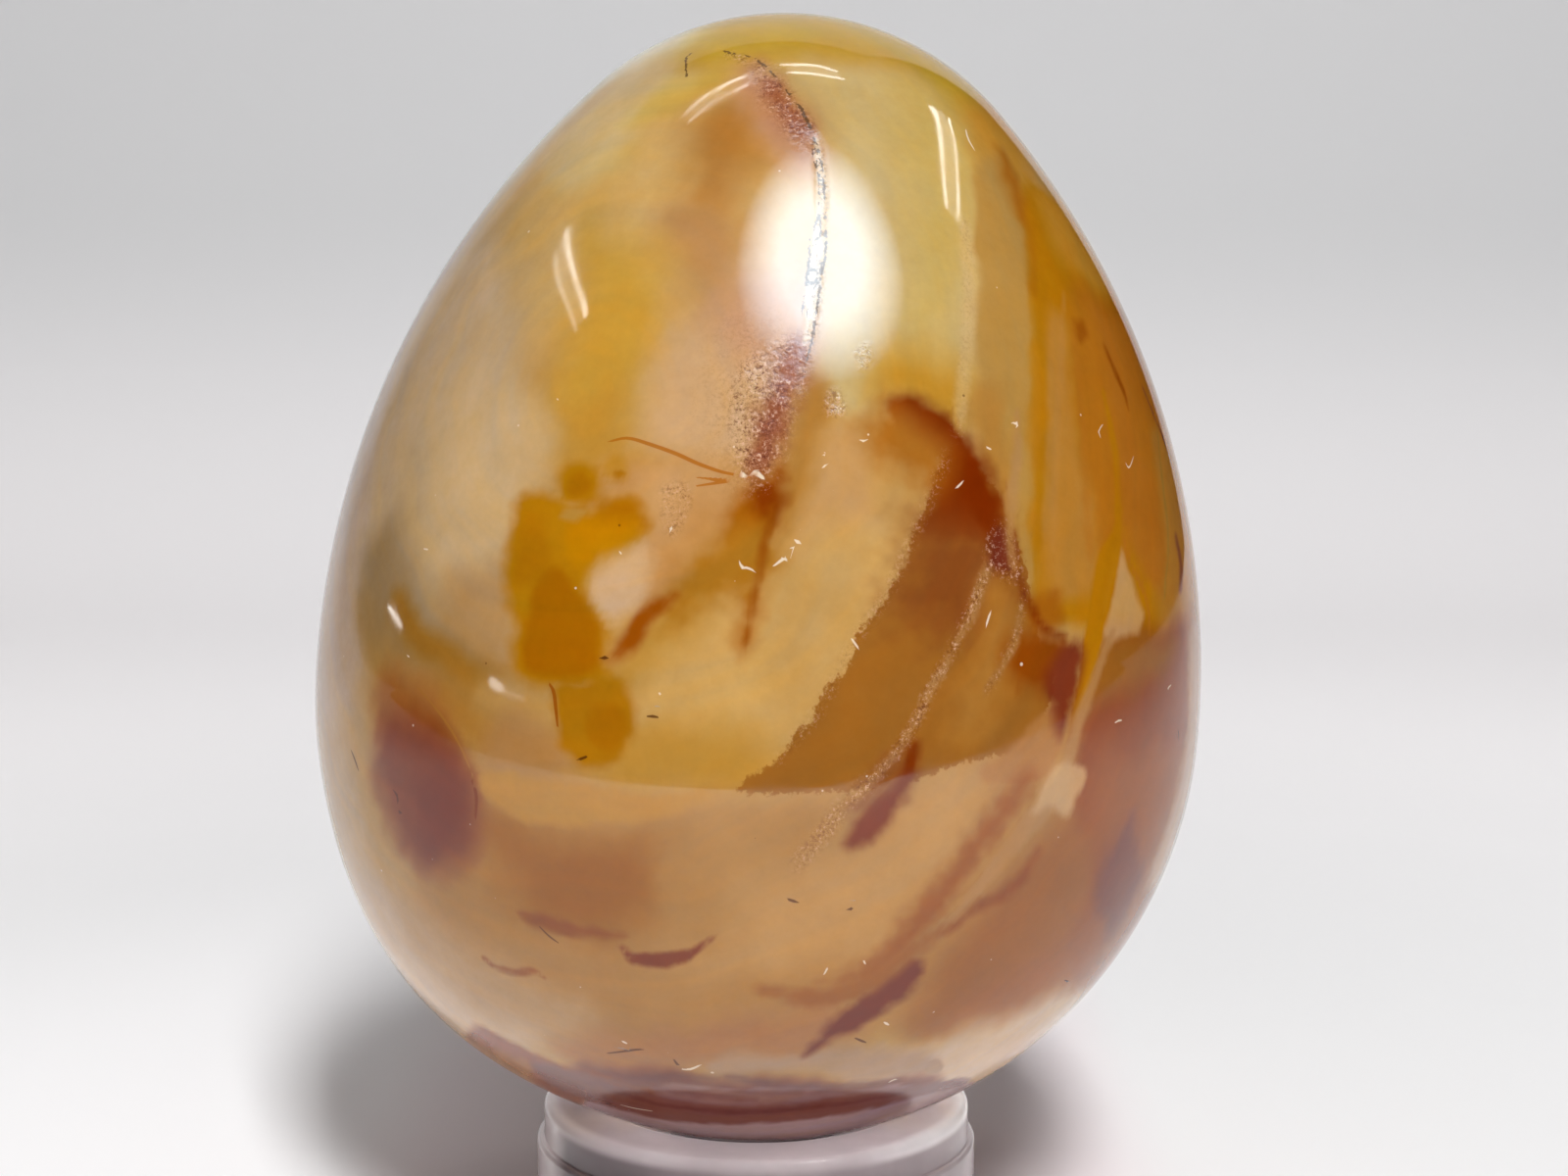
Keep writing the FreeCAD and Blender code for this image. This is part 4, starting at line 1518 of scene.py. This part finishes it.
def rounded_outline(corners, steps=7):
    """Closed outline through (radius, height, round) corners, each round an arc tangent to both its sides."""
    points = []
    for index, (radius, height, fillet) in enumerate(corners):
        here = np.array([radius, height])
        before = np.array(corners[index - 1][:2]) - here
        after = np.array(corners[(index + 1) % len(corners)][:2]) - here
        before, after = before / np.linalg.norm(before), after / np.linalg.norm(after)
        half = math.acos(np.clip(before @ after, -1, 1)) / 2
        inwards = (before + after) / np.linalg.norm(before + after)
        centre = here + inwards * fillet / math.sin(half)
        start = here + before * fillet / math.tan(half) - centre
        end = here + after * fillet / math.tan(half) - centre
        whole = math.pi - 2 * half
        share = np.linspace(0, 1, steps)[:, None]
        arc = (start * np.sin((1 - share) * whole) + end * np.sin(share * whole)) / math.sin(whole)
        points.append(centre + arc)
    return np.concatenate(points)


def subdivided(outline, longest):
    """The closed outline with points added on its long straight runs, so that no step is over the longest."""
    following = np.roll(outline, -1, 0)
    pieces = []
    for start, end in zip(outline, following):
        number = max(1, math.ceil(np.linalg.norm(end - start) / longest))
        pieces.append(start + (end - start) * np.arange(number)[:, None] / number)
    return np.concatenate(pieces)


class MESH_OT_ring_stand(Operator):
    """Add the clear plastic ring that the egg stands in"""

    bl_idname = "mesh.ring_stand_add"
    bl_label = "Clear ring stand"

    def execute(self, context):
        sizes = context.scene.ring_sizes
        low, high = RING_BOX
        foot, top = (high.x - low.x) / 2, high.z
        bore, seat = sizes.bore_radius, sizes.bore_radius + sizes.seat_width
        contact = bore + sizes.seat_width / 2
        slope = math.tan(math.asin(contact / EggForm().radius))
        shoulder = top - sizes.collar_height
        small = sizes.small_round
        outline = subdivided(
            rounded_outline(
                [
                    (bore, 0.0, small),
                    (foot, 0.0, small),
                    (foot, shoulder, small),
                    (sizes.collar_radius, shoulder, small / 2),
                    (sizes.collar_radius, top, sizes.rim_round),
                    (seat, top, small),
                    (bore, top - sizes.seat_width * slope, small),
                ]
            ),
            0.8 * MM,
        )
        turn = np.linspace(0, 2 * math.pi, sizes.columns, endpoint=False)
        points = turned(outline[:, 0], outline[:, 1], turn).reshape(-1, 3)
        faces = np.array(grid_faces(len(outline) + 1, sizes.columns)) % len(points)
        piece = new_mesh("clear_ring", points, faces.tolist())
        piece.data.materials.append(clear_plastic_material())
        piece.visible_glossy = False  # the ring is left out of the stone's mirror image, which is painted into its blunt end instead
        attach(piece, "stand")
        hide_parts("ring_stand")
        return {"FINISHED"}


def reflected(pixels):
    """Spots of the stone under the given pixels, and places from which they mirror light to the camera."""
    form = EggForm()
    spots, _ = form.seen_at(pixels)
    _, rays = pixel_rays(pixels)
    step = 0.01 * MM
    normal = np.stack(
        [form.distance(spots + step * axis) - form.distance(spots - step * axis) for axis in np.eye(3)], 1
    )
    normal /= np.linalg.norm(normal, axis=1, keepdims=True)
    bounced = rays - 2 * (rays * normal).sum(1, keepdims=True) * normal
    return spots, spots + bounced * MIRROR_DISTANCE


def area_light(name, place, target, along, size, power):
    """An area light at a place, facing a target, its long side along a direction."""
    light = bpy.data.lights.new(name, "AREA")
    light.shape = "RECTANGLE"
    light.size, light.size_y = size
    light.energy = power
    holder = bpy.data.objects.new(name, light)
    bpy.context.scene.collection.objects.link(holder)
    back = np.asarray(place, float) - target
    back /= np.linalg.norm(back)
    side = along - (along @ back) * back
    side /= np.linalg.norm(side)
    up = np.cross(back, side)
    turn = np.eye(4)
    turn[:3, 0], turn[:3, 1], turn[:3, 2], turn[:3, 3] = side, up, back, place
    holder.matrix_world = Matrix(turn.tolist())
    return holder


def lamp_way(aside, climb):
    """Direction to a lamp that stands aside and up by two angles, and the level direction square to it."""
    towards = np.array([math.sin(aside), -math.cos(aside), math.tan(climb)]) * math.cos(climb)
    return towards, np.array([math.cos(aside), math.sin(aside), 0])


class SCENE_OT_egg_studio(Operator):
    """Set the pale sweep, the lights and the camera round the egg"""

    bl_idname = "scene.egg_studio_set"
    bl_label = "Pale studio"

    def execute(self, context):
        context.scene.view_settings.view_transform = "Standard"
        self.add_sweep()
        self.add_camera(context.scene)
        self.add_room(context.scene)
        self.add_lamps()
        return {"FINISHED"}

    def add_sweep(self):
        """Floor with a bowed front edge, bent up through a quarter circle into a backdrop.

        The floor's depth runs from the bow y = front + bow x^2 to the foot of the bend. Above the floor the
        right half is drawn in.
        """
        bend, back, wall, side = 0.2, 0.25, 0.5, 0.52
        front, bow, last_front, drawn_in = -0.17, 1.5, 0.1, 0.58
        across = np.linspace(-side, side, 41)
        edge = np.minimum(front + bow * across**2, last_front)
        share = np.linspace(0, 1, 24)[:, None]
        turn = share * math.pi / 2
        depth = np.concatenate([edge + (back - edge) * share, back + bend * np.sin(turn[1:]) + 0 * across])
        height = np.concatenate([0 * share, bend * (1 - np.cos(turn[1:]))])
        depth = np.concatenate([depth, [0 * across + back + bend]])
        height = np.concatenate([height, [[bend + wall]]])
        rows, columns = depth.shape
        inwards = np.where(across > 0, 1 - drawn_in * np.clip(height / 0.02, 0, 1), 1)
        points = np.stack([across * inwards, depth, height + 0 * across], -1).reshape(-1, 3)
        row, column = np.meshgrid(np.arange(rows - 1), np.arange(columns - 1), indexing="ij")
        here = (row * columns + column).ravel()
        faces = np.stack([here, here + 1, here + columns + 1, here + columns], 1).tolist()
        floor = new_mesh("studio_sweep", points, faces)
        floor.data.materials.append(sweep_material())

    def add_camera(self, scene):
        settings = studio()
        camera = bpy.data.cameras.new("photo_camera")
        camera.lens = settings.lens
        camera.sensor_width = SENSOR_WIDTH
        camera.sensor_fit = "HORIZONTAL"
        camera.clip_start, camera.clip_end = 0.005, 10
        holder = bpy.data.objects.new("photo_camera", camera)
        scene.collection.objects.link(holder)
        right, up, forward = camera_axes()
        turn = np.eye(4)
        turn[:3, 0], turn[:3, 1], turn[:3, 2] = right, up, -forward
        turn[:3, 3] = settings.camera_place
        holder.matrix_world = Matrix(turn.tolist())
        scene.camera = holder

    def add_room(self, scene):
        """Even light that the camera sees brighter than it shines, and the stone doesn't mirror."""
        settings = studio()
        world = bpy.data.worlds.new("room")
        scene.world = world
        world.use_nodes = True
        tree = world.node_tree
        background = tree.nodes["Background"]
        background.inputs["Color"].default_value = (*settings.room_colour, 1)
        seen = node(tree, "LightPath").outputs["Is Camera Ray"]
        strength = ramp(tree, seen, 0.0, 1.0, settings.room_light, settings.room_seen)
        tree.links.new(strength, background.inputs["Strength"])
        world.cycles_visibility.glossy = False

    def add_lamps(self):
        """The soft box and strips that the stone mirrors, and one lamp each for stone, paper and ring."""
        settings = studio()
        spots, (middle, left, right, top, bottom) = reflected(pixels_of(SOFT_BOX))
        across = right - left
        size = (np.linalg.norm(across), np.linalg.norm(bottom - top))
        box = area_light("soft_box", middle, spots[0], across, size, settings.box_power)
        box.data.color = settings.box_colour
        box.data.shape = "ELLIPSE"
        soften_light(box.data)
        box.visible_diffuse = False
        heart = EggForm().centre
        near, far = 0.3, 0.6
        towards, level = lamp_way(settings.key_aside, settings.key_climb)
        place = heart + near * towards
        key = area_light("key_light", place, heart, level, (0.07, 0.12), settings.key_power)
        key.visible_glossy = False
        key.light_linking.receiver_collection = self.only("agate_egg")
        place = heart + far * towards
        paper = area_light("paper_light", place, heart, level, (0.08, 0.2), settings.paper_power)
        paper.visible_glossy = False
        paper.light_linking.receiver_collection = self.only("studio_sweep")
        towards, level = lamp_way(settings.ring_aside, settings.ring_climb)
        foot = np.zeros(3)
        ring = area_light("ring_light", near * towards, foot, level, (0.05, 0.05), settings.ring_power)
        ring.light_linking.receiver_collection = self.only("clear_ring")
        ring.light_linking.blocker_collection = self.only("clear_ring")
        for name, width, glow, path in STRIPS:
            self.add_strip(name, width, glow, smooth_path(pixels_of(path), False))

    def only(self, name):
        """A collection of just one object, for a lamp that lights nothing else."""
        group = bpy.data.collections.new("only_" + name)
        group.objects.link(bpy.data.objects[name])
        return group

    def add_strip(self, name, width, glow, path):
        """A lamp strip: where a tapering line of pixels across the stone has its mirror image."""
        along = np.gradient(path, axis=0)
        along /= np.linalg.norm(along, axis=1, keepdims=True)
        tip = 0.15
        taper = np.sqrt(np.sin(np.linspace(tip, math.pi - tip, len(path))))[:, None]
        aside = np.column_stack([-along[:, 1], along[:, 0]]) * taper * width / 2
        _, left = reflected(path - aside)
        _, right = reflected(path + aside)
        number = len(path)
        here = np.arange(number - 1)
        faces = np.stack([here, here + 1, here + number + 1, here + number], 1).tolist()
        strip = new_mesh(name, np.concatenate([left, right]), faces)
        strip.data.materials.append(glow_material(glow))
        strip.visible_camera = False
        strip.visible_shadow = False


class VIEW3D_PT_agate_egg(Panel):
    bl_label = "Agate egg on ring stand"
    bl_space_type = "VIEW_3D"
    bl_region_type = "UI"
    bl_category = "Agate Egg"

    def draw(self, context):
        layout = self.layout
        scene = context.scene
        for holder, maker in (
            (scene.egg_sizes, None),
            (scene.egg_colours, MESH_OT_agate_egg),
            (scene.ring_sizes, None),
            (scene.ring_colours, MESH_OT_ring_stand),
            (scene.egg_studio, SCENE_OT_egg_studio),
        ):
            box = layout.box()
            for name in holder.__annotations__:
                box.prop(holder, name)
            if maker:
                box.operator(maker.bl_idname)


GROUPS = {
    "egg_sizes": EggSizes,
    "ring_sizes": RingSizes,
    "ring_colours": RingColours,
    "egg_colours": StoneColours,
    "egg_studio": StudioSettings,
}
OPERATORS = (MESH_OT_agate_egg, MESH_OT_ring_stand, SCENE_OT_egg_studio)


def register():
    for made in (*GROUPS.values(), *OPERATORS, VIEW3D_PT_agate_egg):
        bpy.utils.register_class(made)
    for name, group in GROUPS.items():
        setattr(bpy.types.Scene, name, PointerProperty(type=group))


def unregister():
    for name in GROUPS:
        delattr(bpy.types.Scene, name)
    for made in reversed((*GROUPS.values(), *OPERATORS, VIEW3D_PT_agate_egg)):
        bpy.utils.unregister_class(made)


def main():
    register()
    bpy.ops.mesh.agate_egg_add()
    bpy.ops.mesh.ring_stand_add()
    bpy.ops.scene.egg_studio_set()


if __name__ == "__main__":
    main()
